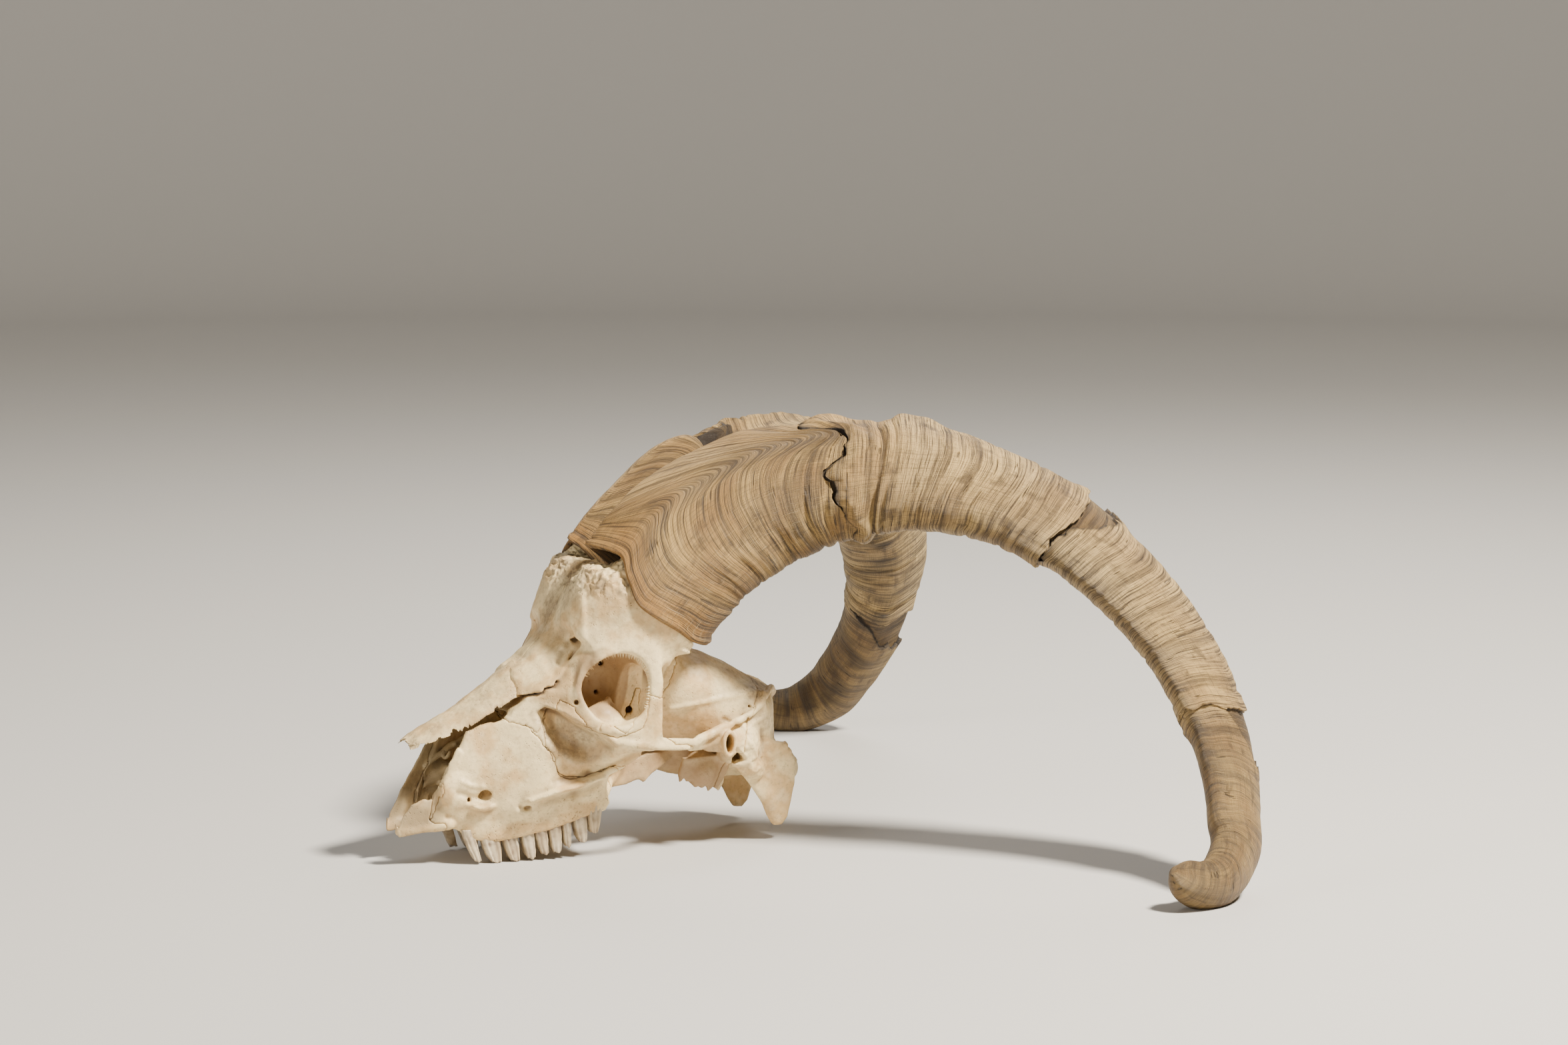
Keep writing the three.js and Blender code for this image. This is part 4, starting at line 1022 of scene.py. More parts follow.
def ear_and_nape(solid):
    """The ear ring, the mastoid, the jugular process and the condyle."""
    solid.add(egg((6, 36, 58), (13, 9, 12)), 5.0)
    solid.add(rod([(8, 39, 49), (12, 37, 44), (18, 34, 42)], (5.0, 5.2, 4.5)), 4.0)
    jugular = [(6, 47), (10, 39), (17, 30), (23, 22), (28, 13), (31, 8.8), (36, 8.4), (39.5, 12), (42.5, 22),
               (44, 31), (44, 44), (38, 56), (20, 58), (8, 54)]
    solid.add(plate(jugular, lambda x, z: 31.5 - 0.14 * (x - 20) - 0.05 * (40 - z), 2.2, 2.6), 3.5)
    solid.add(rod([(27, 30.5, 26), (33, 28, 12)], (3.2, 2.4)), 3.0)
    solid.add(egg((44, 14.5, 41), (6.5, 7.5, 10.5), [(0.86, 0, 0.5), (0, 1, 0), (-0.5, 0, 0.86)]), 2.5)
    solid.add(egg((36, 12, 38), (12, 7, 5)), 4.0)
    solid.add(rod([(-12, 38, 61), (-5.5, 43.5, 61.5)], (5.4, 6.0)), 3.0)
    ear = np.linspace(0, 2 * math.pi, 17)
    solid.add(rod(np.c_[-4.7 + 3.6 * np.cos(ear), 49.4 - 0.8 * np.cos(ear), 61.2 + 6.5 * np.sin(ear)], 1.3),
              0.9)
    solid.add(rod(np.c_[-4.4 + 3.2 * np.cos(ear), 46.6 - 0.8 * np.cos(ear), 61.2 + 6.0 * np.sin(ear)], 1.6),
              1.5)


def skull_base(solid):
    """The base of the skull: middle bar, wings, bulla and pterygoid blades."""
    solid.add(rod([(40, 0, 43), (20, 0, 41), (0, 0, 41), (-25, 0, 47), (-45, 0, 56)], (8, 8.5, 8, 7.5, 7)),
              6.0)
    solid.add(egg((-12, 26, 44), (10, 9, 10)), 4.0)
    bulla = [(-26, 52), (-27, 43), (-25.5, 37.5), (-23.5, 40.5), (-21.5, 38), (-18.5, 39), (-16.5, 33.5),
             (-14.5, 36.5), (-12.5, 33), (-10, 35.5), (-8, 30.5), (-5.5, 33), (-3, 31.5), (0, 36), (3, 43),
             (3, 52)]
    solid.add(plate(bulla, lambda x, z: 29 + 0.25 * (z - 40) + 0 * x, 1.6, 1.2), 2.0)
    solid.add(plate([(-10, 45), (-4, 34), (1, 28.5), (4, 33), (6, 45)], 20, 1.3, 1.0), 2.0)
    blade = [(-67, 36.5), (-66, 41), (-55, 47.5), (-40, 52.5), (-24, 52.5), (-25, 48), (-33, 43),
             (-39, 38.5), (-43, 34.5), (-46, 36), (-52, 32.5), (-57, 34), (-63, 33)]
    solid.add(plate(blade, lambda x, z: 16 - 0.09 * (x + 66) + 0 * z, 1.4, 1.2), 2.0)
    solid.add(rod([(-64.5, 15.5, 34), (-63.5, 14, 30.5), (-60.5, 13, 27.4)], (2.0, 1.5, 0.9)), 2.0)
    solid.add(rod([(-69, 22, 36), (-64, 18, 40), (-58, 15.5, 46)], (4.0, 3.0, 3.0)), 4.0)
    solid.add(rod([(-66, 10, 58), (-75, 14, 50)], (8.0, 10)), 5.0)


def premaxilla_body(solid):
    """The premaxilla: its body flows out of the maxilla, and its tongue rises along the nose."""
    solid.add(rod([(-158, 16.5, 22.8), (-166, 14.0, 21.2), (-176, 10.0, 20), (-182, 7.6, 19.6)],
                  (3.4, 2.6, 2.4, 2.7)), 2.5)
    solid.add(rod([(-182.6, 7.2, 18.6), (-183.2, 7.0, 23.0)], (2.5, 1.9)), 1.5)
    tongue = [(-184.5, 16), (-184.8, 24), (-182, 27.5), (-178.5, 32.5), (-176, 38), (-172, 43), (-167, 50),
              (-160, 61), (-153, 67), (-150, 62), (-155, 50), (-160, 36), (-160, 24), (-166, 20.5),
              (-176, 17.5), (-184, 15.5)]
    solid.add(plate(tongue, lambda x, z: 8.4 + 0.34 * (x + 186) - 0.05 * (z - 20), 0.9, 0.8), 1.6)
    solid.add(rod([(-182, 3.5, 22), (-170, 4.0, 23), (-156, 4.5, 25)], (1.8, 1.4, 1.2)), 1.5)


def nose(solid, face):
    """The palate's vault between the tooth rows, the nose's hollow, and the thin bones in it."""

    def vault(x, y, z):
        roof = z - (27 + 0.16 * (x + 110))
        return meet(meet(y - 17.5 - 0.05 * (x + 100), roof, 6) + 0 * x, np.abs(x + 105) - 62, 3)

    def nasal_hollow(x, y, z):
        side = y - np.clip(face(x, z) - 2.2, 3, 19.5)
        height = np.abs(z - (57 + 0.22 * (x + 130))) - (25 - 0.25 * np.clip(x + 130, 0, 60))
        return meet(meet(side, height, 5), np.abs(x + 142) - 40, 4)

    def front_gap(x, y, z):
        side = y - (7.2 + 0.12 * np.clip(-160 - x, 0, 20)) + 0 * x * z
        return meet(side, meet(np.abs(z - 20) - 14, np.abs(x + 172) - 12.5, 2), 2)

    solid.cut((vault, (-172, 0, 0), (-40, 28, 44)), 3.0)
    solid.cut((nasal_hollow, (-186, 0, 24), (-96, 26, 96)), 1.6)
    solid.cut((front_gap, (-190, 0, 4), (-156, 16, 40)), 1.0)
    solid.add(rod([(-170, 0, 27), (-140, 0, 32), (-105, 0, 40)], (1.6, 1.8, 2.2)), 1.5)
    turns = np.linspace(0, 4.6, 9)
    for start, low in ((-150, 44), (-147, 58)):   # two rows of scrolled turbinates
        for k in range(3):
            scroll = [(start + 9 * k + 4 * math.cos(t) * (1 - t / 9), 11 + 4.5 * math.sin(t) * (1 - t / 9),
                       low + 3 * k + 4 * math.cos(t)) for t in turns]
            solid.add(rod(scroll, 1.1), 1.0)
    solid.add(rod([(-165, 13, 38), (-150, 14, 44), (-130, 14, 50)], (1.0, 2.2, 2.5)), 2.0)
    solid.add(rod([(-160, 14, 50), (-145, 14, 60), (-128, 12, 68)], (0.9, 1.8, 2.2)), 2.0)
    solid.add(egg((-149, 18.5, 41), (14, 5.5, 11)), 2.0)


def openings(solid):
    """Nerve holes, pits, and the openings at the ear and the nape."""
    solid.cut(rod([(-136, 22, 41), (-140.5, 27, 38), (-146, 27, 37.5), (-152, 26, 38.5)],
                  (2.0, 3.3, 2.2, 0.6)), 1.0)
    solid.cut(rod([(-138, 20, 41), (-141.3, 30, 37.2)], (2.4, 3.5)), 0.6)
    solid.cut(egg((-151, 28.6, 42), (9, 4.6, 7), [(0.9, 0.25, -0.2), (-0.25, 0.96, 0), (0.2, 0, 0.97)]), 2.0)
    solid.add(rod([(-145.5, 25.5, 33.2), (-141, 27, 31.8), (-136, 28, 33.5)], (0.9, 1.2, 0.9)), 1.6)
    solid.cut(egg((-119.6, 39.5, 31), (6, 4.5, 4.0), [(0.95, 0, 0.3), (0, 1, 0), (-0.3, 0, 0.95)]), 1.6)
    solid.cut(egg((-96, 41.5, 34.5), (26, 5.4, 4.6), [(0.97, 0, 0.24), (0, 1, 0), (-0.24, 0, 0.97)]), 2.5)
    solid.cut(rod([(-148, 20, 36), (-148.5, 26, 36)], (0.8, 0.9)), 0.4)
    solid.cut(rod([(-117, 33, 31.5), (-118.5, 38, 30.5)], (1.0, 1.7)), 0.8)
    solid.cut(rod([(-86, 24, 121.5), (-88.5, 34, 120.5)], (1.8, 2.2)), 1.0)
    solid.cut(rod([(-91, 31, 110), (-88.5, 31.5, 119), (-85.5, 29.5, 127), (-83, 30, 134)],
                  (1.0, 2.0, 1.6, 0.6)), 3.0)
    solid.cut(rod([(-53, 20, 80), (-56, 28, 80)], (2.2, 2.0)), 0.6)
    solid.cut(rod([(-73, 17, 91), (-73, 26, 91)], (1.2, 1.2)), 0.5)
    solid.cut(rod([(-70, 18, 106), (-72, 30, 107.5)], (1.3, 1.6)), 0.5)
    solid.cut(egg((-4.7, 48, 61.2), (2.7, 19, 5.5)), 0.4)
    solid.cut(rod([(8, 30, 74), (9.5, 42, 73)], (1.0, 1.1)), 0.5)
    solid.cut(rod([(12, 30, 78), (14, 41, 79)], (0.8, 1.0)), 0.5)
    solid.cut(rod([(4, 33, 52), (3, 42, 50.5)], (2.2, 2.6)), 1.4)
    solid.cut(rod([(26, 0, 54), (52, 0, 52)], (9.5, 10.5)), 2.0)
    solid.cut(egg((20, 0, 62), (22, 17, 14)), 3.0)
    solid.cut(egg((-30, 46, 66), (6, 6, 3)), 3.0)
    solid.cut(rod([(-97, 52, 92), (-93, 44, 90)], (1.6, 1.2)), 1.2)
    # the fissure between nasal, frontal and tear bone
    fissure = [(-135, 79.6), (-132, 77.6), (-128, 78.6), (-124, 81.2), (-121.5, 84), (-119, 86.2),
               (-115.5, 89), (-114, 92), (-118, 92), (-124, 89), (-133, 86)]
    solid.cut(plate(fissure, 20, 9, 0.6), 0.6)


def ridges(solid):
    """Ridges, grooves and cracks drawn on the surface."""
    for line in RIDGES:
        solid.draw(*line)


def skull_field(step):
    """One half of the skull as a field, built up and cut out part by part."""
    solid = Field((-196, 0, 3), (60, 70, 190), step)
    face = draped(face_points())
    face_and_case(solid, face)
    for sub_part in (horn_foot_and_socket, cheek, socket_rim, ear_and_nape, skull_base, premaxilla_body):
        sub_part(solid)
    nose(solid, face)
    openings(solid)
    ridges(solid)
    return solid


def surface(field, axes, step):
    """Surface net of a field: one point per cell that the surface crosses, at the mean of the crossings
    on the cell's edges, and one quad per grid edge that it crosses. Points are then drawn to the field's
    zero."""
    inside = field < 0
    count = np.zeros(np.array(field.shape) - 1, np.int8)
    offsets = [(i, j, k) for i in (0, 1) for j in (0, 1) for k in (0, 1)]
    n0, n1, n2 = count.shape
    for i, j, k in offsets:
        count += inside[i:i + n0, j:j + n1, k:k + n2]
    cells = np.argwhere((count > 0) & (count < 8))
    values = np.stack([field[cells[:, 0] + i, cells[:, 1] + j, cells[:, 2] + k] for i, j, k in offsets], 1)
    total, hits = np.zeros((len(cells), 3), np.float32), np.zeros(len(cells), np.float32)
    for a in range(8):
        for b in range(a + 1, 8):
            step_ab = np.array(offsets[b]) - offsets[a]
            if np.abs(step_ab).sum() != 1:
                continue   # not the two ends of one edge
            va, vb = values[:, a], values[:, b]
            cross = (va < 0) != (vb < 0)
            t = np.where(cross, va / np.where(cross, va - vb, 1), 0)
            total += cross[:, None] * (np.array(offsets[a]) + t[:, None] * step_ab)
            hits += cross
    local = cells + total / hits[:, None]
    index = np.full(count.shape, -1, np.int32)
    index[tuple(cells.T)] = np.arange(len(cells))
    quads = []
    for axis in range(3):
        a, b = [slice(1, -1)] * 3, [slice(1, -1)] * 3
        a[axis], b[axis] = slice(0, -1), slice(1, None)
        low, high = inside[tuple(a)], inside[tuple(b)]
        others = [k for k in range(3) if k != axis]
        for enters in (False, True):
            edge = np.argwhere((~low & high) if enters else (low & ~high))
            edge[:, others] += 1
            ring = []
            for shift in ((0, 0), (1, 0), (1, 1), (0, 1)):
                c = edge.copy()
                c[:, others] -= shift
                ring.append(index[tuple(c.T)])
            quad = np.stack(ring, 1)
            quads.append(quad[:, ::-1] if enters ^ (axis == 1) else quad)
    origin = np.array([axis[0] for axis in axes])
    faces = np.concatenate(quads)
    faces = faces[(faces >= 0).all(1)]
    for _ in range(2):
        value, slope = sample(field, local, True)
        local = local - np.clip(value / ((slope**2).sum(1) + 1e-6), -0.6, 0.6)[:, None] * slope
    return origin + local * step, faces, local


def sample(field, local, slopes=False):
    """Trilinear value of a field at fractional grid places, and its slope per cell."""
    limit = np.array(field.shape) - 2
    cell = np.clip(np.floor(local).astype(int), 0, limit)
    f = local - cell
    value, slope = 0, np.zeros_like(local)
    for i in (0, 1):
        for j in (0, 1):
            for k in (0, 1):
                v = field[cell[:, 0] + i, cell[:, 1] + j, cell[:, 2] + k]
                w = [f[:, axis] if bit else 1 - f[:, axis] for axis, bit in enumerate((i, j, k))]
                value = value + v * w[0] * w[1] * w[2]
                if slopes:
                    for axis, bit in enumerate((i, j, k)):
                        p, q = [m for m in range(3) if m != axis]
                        slope[:, axis] += (1 if bit else -1) * v * w[p] * w[q]
    return (value, slope) if slopes else value


def blurred(field, cells):
    """Field averaged over a box of 2 cells + 1 on each axis, by running sums."""
    n = 2 * cells + 1
    out = field
    for axis in range(3):
        margins = [(cells + 1, cells) if k == axis else (0, 0) for k in range(3)]
        sums = np.cumsum(np.pad(out, margins, mode="edge"), axis=axis, dtype=np.float32)
        high = np.take(sums, range(n, sums.shape[axis]), axis=axis)
        low = np.take(sums, range(0, sums.shape[axis] - n), axis=axis)
        out = (high - low) / n
    return out


def wavy(points, x, z, amount, scale, seed):
    """Signed distance to an outline whose edge wanders by noise, as a suture does."""
    where = np.stack(np.broadcast_arrays(x / scale, z / scale, 0 * x * z + 0.5), -1)
    return outline(points, x, z) + amount * layered(where, seed, 3, 0.6)


# Outlines of the bones in the side view. Each is parted from the ones before it in bone_regions.
ZYGOMATIC = [(-101, 92), (-104, 84), (-109, 76), (-108, 66), (-103, 58), (-101, 51), (-96, 47.5),
             (-87, 47.5), (-76, 50.5), (-70, 53.5), (-60, 54), (-28, 57.5), (-28, 62.2), (-40, 65.8),
             (-47, 70), (-48.5, 84), (-47, 92), (-56, 94), (-60, 76), (-76, 71), (-90, 78), (-95, 88)]
MAXILLA = [(-215, -5), (-215, 30), (-176, 26), (-171, 22), (-165.5, 26), (-160, 52), (-158, 100),
           (-131, 84), (-126, 79), (-117, 77), (-112, 72), (-109, 66), (-103, 57), (-101, 50), (-95, 46),
           (-70, 52), (-66, 48), (-66, 34), (-64, -5)]
PREMAXILLA = [(-215, -5), (-215, 80), (-150, 80), (-150, 71), (-161, 47), (-166, 37), (-168, 26),
              (-165, 24), (-160, 24), (-158, -5)]
FOREHEAD = [(-135, 76), (-117, 77), (-112, 73), (-104, 84), (-98, 92), (-88, 84), (-70, 74), (-56, 92),
            (-46, 93), (-42, 104), (-33, 112), (-22, 122), (-14, 210), (-215, 210), (-215, 60)]
OCCIPUT = [(90, 200), (29, 110), (27, 92), (20, 84), (13, 76), (8, 64), (5, 52), (-1, 46), (-6, 30),
           (-6, -10), (90, -10)]


# The socket's inner wall, which belongs to the forehead.
SOCKET = [(-98, 104), (-100, 80), (-92, 69), (-52, 69), (-41, 76), (-34, 92), (-28, 108), (-46, 112)]
# The hollow under the cheek's upper edge, where painted shade darkens the bone's colour.
UNDER_EDGE = [(-113, 84), (-107.4, 88.4), (-99.9, 85.6), (-91.5, 79.5), (-81, 73.2), (-74, 66.5),
              (-76, 58), (-85, 55), (-94, 57), (-103, 63), (-110, 71)]
ONE_FOR_BOTH = ("occiput",)   # every other bone has a left and a right half
# how far a bone stays from its border at the surface, and reaches over it inside
SEAM, OVERLAP = 0.03, 0.3
MIDDLE_SEAM = 0.12            # how far a half stays from the middle plane


def bone_regions(x, y, z):
    """For each bone a field that is negative where the bone lies."""
    behind_socket = 28 * ease(1.35, 1.15, oval(x, z, (-74, 97), (18, 20.6)))
    zygomatic = np.maximum(wavy(ZYGOMATIC, x, z, 0.9, 4.0, 81), 22 + behind_socket - y)
    premaxilla, maxilla = wavy(PREMAXILLA, x, z, 0.4, 3.0, 95), wavy(MAXILLA, x, z, 1.0, 4.5, 82)
    socket = np.maximum(wavy(SOCKET, x, z, 0.9, 2.6, 85), np.abs(y - 33) - 22)
    forehead = np.minimum(wavy(FOREHEAD, x, z, 1.1, 4.0, 83), socket)
    occiput = wavy(OCCIPUT, x, z, 0.8, 4.0, 84)
    rest = np.maximum(np.maximum(-maxilla, -premaxilla), -zygomatic)
    return {
        "zygomatic": zygomatic,
        "premaxilla": np.maximum(premaxilla, -zygomatic),
        "maxilla": np.maximum(np.maximum(maxilla, -premaxilla), -zygomatic),
        "forehead": np.maximum(forehead, rest),
        "occiput": np.maximum(np.maximum(occiput, -forehead), rest),
        "braincase": np.maximum(np.maximum(-occiput, -forehead), rest),
    }


def mirrored(axis, blocks, rows):
    """The blocks and their y axis, with so many rows mirrored to the other side of the middle plane."""
    both = [np.concatenate([a[:, :rows][:, ::-1], a], 1) for a in blocks]
    return both, np.concatenate([-axis[:rows][::-1], axis])


def torn_premaxilla(field, x, z):
    """The left premaxilla: its upper part is broken off."""
    tear = 28 + 0.5 * (x + 186) + 2.2 * layered(pad(x / 4, 0 * x), 55, 3)
    return meet(field, z[None, None, :] - tear[:, None, None], 0.6)


def split_in_middle(field, x, y, z, side):
    """A bone's field up to a seam that wanders about the middle plane, the same seam for both halves."""
    where = np.broadcast_arrays(x[:, None, None] / 3, z[None, None, :] / 3, np.float32(0.3))
    wander = 0.25 * layered(np.stack(where, -1), 88, 2)
    return meet(field, MIDDLE_SEAM - y[None, :, None] + wander * side, 0.3)


def bones(step):
    """Each bone's name, kind, points and faces, with the blurred and the whole skull's field at its
    points: the skull's field cut by the bone's region, with a narrow seam between."""
    solid = skull_field(step)
    half, (xs, ys, zs) = solid.field, solid.axes
    broad = blurred(half, max(1, int(round(3.2 / step))))
    seam = SEAM * ease(-1.9, -0.8, half) - OVERLAP * ease(-0.8, -1.9, half)
    regions = bone_regions(xs[:, None, None], ys[None, :, None], zs[None, None, :])
    for kind, region in regions.items():
        bone = meet(half, region + seam, 0.15)
        used = np.argwhere(bone < 0)
        low, high = np.maximum(used.min(0) - 3, 0), np.minimum(used.max(0) + 4, bone.shape)
        near = tuple(slice(a, b) for a, b in zip(low, high))
        blocks, (x, y, z) = [a[near] for a in (bone, broad, half)], [a[k] for a, k in zip(solid.axes, near)]
        for word, side in ({"": 0.0} if kind in ONE_FOR_BOTH else SIDES).items():
            margin = 3 if low[1] == 0 else 0
            both, y_both = mirrored(y, blocks, len(y) if kind in ONE_FOR_BOTH else margin)
            if kind == "premaxilla" and side == LEFT:
                both[0] = torn_premaxilla(both[0], x, z)
            if side and margin:
                both[0] = split_in_middle(both[0], x, y_both, z, side)
            co, faces, local = surface(both[0], (x, y_both, z), step)
            if side == LEFT:
                co[:, 1] *= -1
                faces = faces[:, ::-1]
            yield f"{kind}_{word}".strip("_"), kind, co, faces, sample(both[1], local), sample(both[2], local)


def bone_marks(co, broad, whole):
    """The bone's marks by place. Dirt and painted shade lie where the surface is hollow: the blurred field is
    negative there."""
    x, y, z = co.T
    wide = np.abs(y)
    rough, speck = layered(co / 9.0, 61, 3), layered(co / 2.6, 62, 2)
    # dirt and painted shade where the surface is hollow
    hollow = np.clip((-broad - 0.05) / 1.3 + 0.15 * rough, 0, 1)
    # the spongy edge under the horns, and the pitted jaw and nape
    spongy = ease(143, 152, z) * ease(-52, -62, x)
    jaw = bump(z, 20 + (x + 120) * 0.17, 9) * ease(-66, -72, x) * ease(-158, -150, x)
    nape = ease(84, 92, z + 0.25 * x) * ease(-5, 15, x)
    porous = 0.30 + 0.8 * spongy + 0.9 * jaw + 0.8 * nape + 0.5 * rough
    # grey and brown stains, with painted shade under the cheek's upper edge and under the braincase
    # painted shade in the hollow under the cheek's upper edge
    under = ease(3, -2, outline(UNDER_EDGE, x, z)) * (wide > 30)
    # painted shade, darker towards the bottom of the braincase
    base = ease(66, 58, z) * ease(-60, -50, x) * ease(2, -6, x)
    behind_ear = np.clip(1 - np.abs(z - 84 - 0.9 * (x - 16)) / 6, 0, 1) * ease(2, 12, x) * (wide > 25)
    stain_and_shade = (0.85 * spongy * ease(-0.3, 0.5, speck) + 0.45 * base * ease(50, 42, wide)
             + 0.66 * under * (0.8 + 0.4 * rough)
             + 0.75 * ease(8, 30, x) * ease(78, 88, z) * (0.7 + 0.6 * rough)
             + 0.6 * bump(wide, 0, 19) * ease(108, 145, z) * ease(-64, -76, x) * (0.8 + 0.5 * rough)
             + 0.65 * behind_ear
             + 0.5 * bump(wide, 0, 16) * ease(-75, -80, x) * ease(98, 112, z) * (0.5 + rough)
             + 0.6 * ease(10, 26, x) * bump(z, 62, 12) * bump(wide, 38, 9) * (0.6 + rough))
    # the nose's thin walls and its darker front end
    nose_wall = ease(0, 3, 19 - wide) * ease(-116, -124, x) * ease(20, 26, z) * ease(96, 90, z) * (x > -186)
    front_end = 0.5 * ease(-168, -172, x) * (0.5 + rough) * ease(0, 0.3, hollow + 0.2)
    # warm brown on the bulla and the palate; in the socket and beneath the braincase it is painted shade
    painted_socket_shade = ease(1.02, 0.94, oval(x, z, (-75, 97), (19.5, 25))) * ease(54, 48, wide) * (wide > 16)
    socket_floor = ease(84, 78, z) * ease(-62, -70, x)
    bulla = ease(6, 2, np.abs(wide - 29)) * ease(51, 44, z) * ease(-29, -26, x) * ease(6, 3, x)
    palate = ease(0.0, 8.0, 40 - z - 0.12 * (x + 60)) * ease(20, 14, wide)
    # painted shade beneath the braincase
    beneath = ease(64, 56, z) * ease(-62, -52, x) * ease(4, -3, x) * ease(44, 36, wide)
    warm_tone_and_shade = (0.95 * painted_socket_shade * (1 - 0.8 * socket_floor) + 0.7 * bulla + 0.35 * palate + 0.75 * beneath
            + 0.15 * rough)
    # dark on the cut faces and in the crack, and painted shade in the ear's opening
    crack = line_distance(CRACK, x, z) + 0.15 + 0.3 * ease(-112, -100, x) + 9 * (wide < 18)
    dark = np.clip(0.55 * ease(0.5, 1.8, -whole - 0.05) + 0.85 * ease(0.85, 0.45, crack), 0, 1)
    # painted shade in the ear's opening
    ear = ease(1.0, 0.75, oval(x, z, (-4.7, 61.2), (3.0, 5.8))) * ease(48, 45, wide) * (wide > 15)
    return {
        "hollow": np.clip(hollow * (1 - 0.4 * painted_socket_shade), 0, 1), "porous": np.clip(porous, 0, 1),
        "stain_and_shade": np.clip(stain_and_shade, 0, 0.85), "olive": np.clip(nose_wall * (0.75 + 0.4 * rough) + front_end, 0,
                                                           1),
        "warm_tone_and_shade": np.clip(warm_tone_and_shade, 0, 1), "dark": np.clip(dark + 0.85 * ear, 0, 1),
    }


def crumbled(co):
    """The points, moved by slow noise everywhere and by fine noise where the bone's edge crumbles."""
    x, _, z = co.T
    drift = 0.5 * np.stack([layered(co / 13.0 + 3 * k, 90 + k, 2) for k in range(3)], -1)
    crumb = (0.10 + 0.9 * ease(143, 153, z) * ease(-50, -62, x) + 0.25 * ease(20, 32, x) * ease(74, 84, z)
             + 0.5 * ease(-2, 6, x) * ease(66, 58, z) * ease(34, 42, z))
    small = np.stack([layered(co / 2.4 + 9 * k, 95 + k, 2) for k in range(3)], -1)
    return co + drift + small * crumb[:, None]


for name, kind, co, faces, broad, whole in bones(GRAIN):
    stands_for = [name] if kind in ("zygomatic", "maxilla", "premaxilla") else ["cranium"]
    piece(f"bone_{name}", crumbled(co), [faces], BONE, stands_for, bone_marks(co, broad, whole))


SPIKES = 46


def socket_spikes(side):
    """Short cones along the upper rim of the socket, pointing into it: five points around each foot and a
    tip."""
    draw = np.random.default_rng(17)
    turn = np.sort(np.linspace(-0.55, 2.75, SPIKES) + draw.uniform(-0.02, 0.02, SPIKES))
    out = through(np.linspace(0, 2 * math.pi, 9), RIM_OUT, turn % (2 * math.pi)) - 0.9
    high = np.clip(np.sin(turn), 0, 1)

    def on_rim(grow, turn):
        x = ORBIT["x"] + 0.4 + grow * ORBIT["half"] * np.cos(turn) + 3.6 * high
        return np.stack([x, out, ORBIT["z"] + grow * ORBIT["tall"] * np.sin(turn)], -1)

    root = on_rim(1.05, turn)
    tip = on_rim(0.87 - draw.uniform(0.0, 0.06, SPIKES), turn + draw.uniform(-0.03, 0.03, SPIKES))
    root[:, 1] += 0.7
    tip[:, 1] += 1.6
    way = unit(tip - root)
    flat = unit(np.cross(way, [0, 1, 0]))
    thick = np.cross(way, flat)
    size = draw.uniform(0.8, 1.2, SPIKES)[:, None, None]
    a = (np.arange(5) / 5 * 2 * math.pi)[None, :, None]
    ring = root[:, None] + size * (np.cos(a) * flat[:, None] + 0.7 * np.sin(a) * thick[:, None])
    co = np.concatenate([ring, tip[:, None], root[:, None]], 1) * (1, side, 1)
    k, j = np.arange(SPIKES)[:, None] * 7, np.arange(5)[None]
    up = np.stack([k + j, k + (j + 1) % 5, np.broadcast_to(k + 5, (SPIKES, 5))], -1).reshape(-1, 3)
    down = np.stack([k + (j + 1) % 5, k + j, np.broadcast_to(k + 6, (SPIKES, 5))], -1).reshape(-1, 3)
    faces = np.concatenate([up, down])
    return co.reshape(-1, 3), [faces[:, ::-1] if side < 0 else faces]


for word, side in SIDES.items():
    points, faces = socket_spikes(side)
    levels = {"hollow": 0.1, "porous": 0.3, "stain_and_shade": 0.0, "olive": 0.0, "warm_tone_and_shade": 0.0, "dark": 0.0}
    marks = {key: np.full(len(points), level) for key, level in levels.items()}
    piece(f"socket_spikes_{word}", points, faces, BONE, ["cranium"], marks)


# --------------------------------------------------------------------------- nasal bones

NASAL = np.array([  # x, top z on the middle line, half width, drop from the middle line to the side edge
    (-177, 68.6, 10.5, 4.6), (-174.5, 70, 12, 4.8), (-172, 71.5, 13.2, 5.2), (-168, 73.5, 14.5, 6.0),
    (-158, 78.5, 16.5, 7.6), (-148, 83.5, 18.5, 9.6), (-138, 89.5, 20, 9.2), (-128, 96.5, 20.5, 11.2),
    (-120, 102.8, 20.5, 13.5), (-113, 107.6, 19, 17),
])


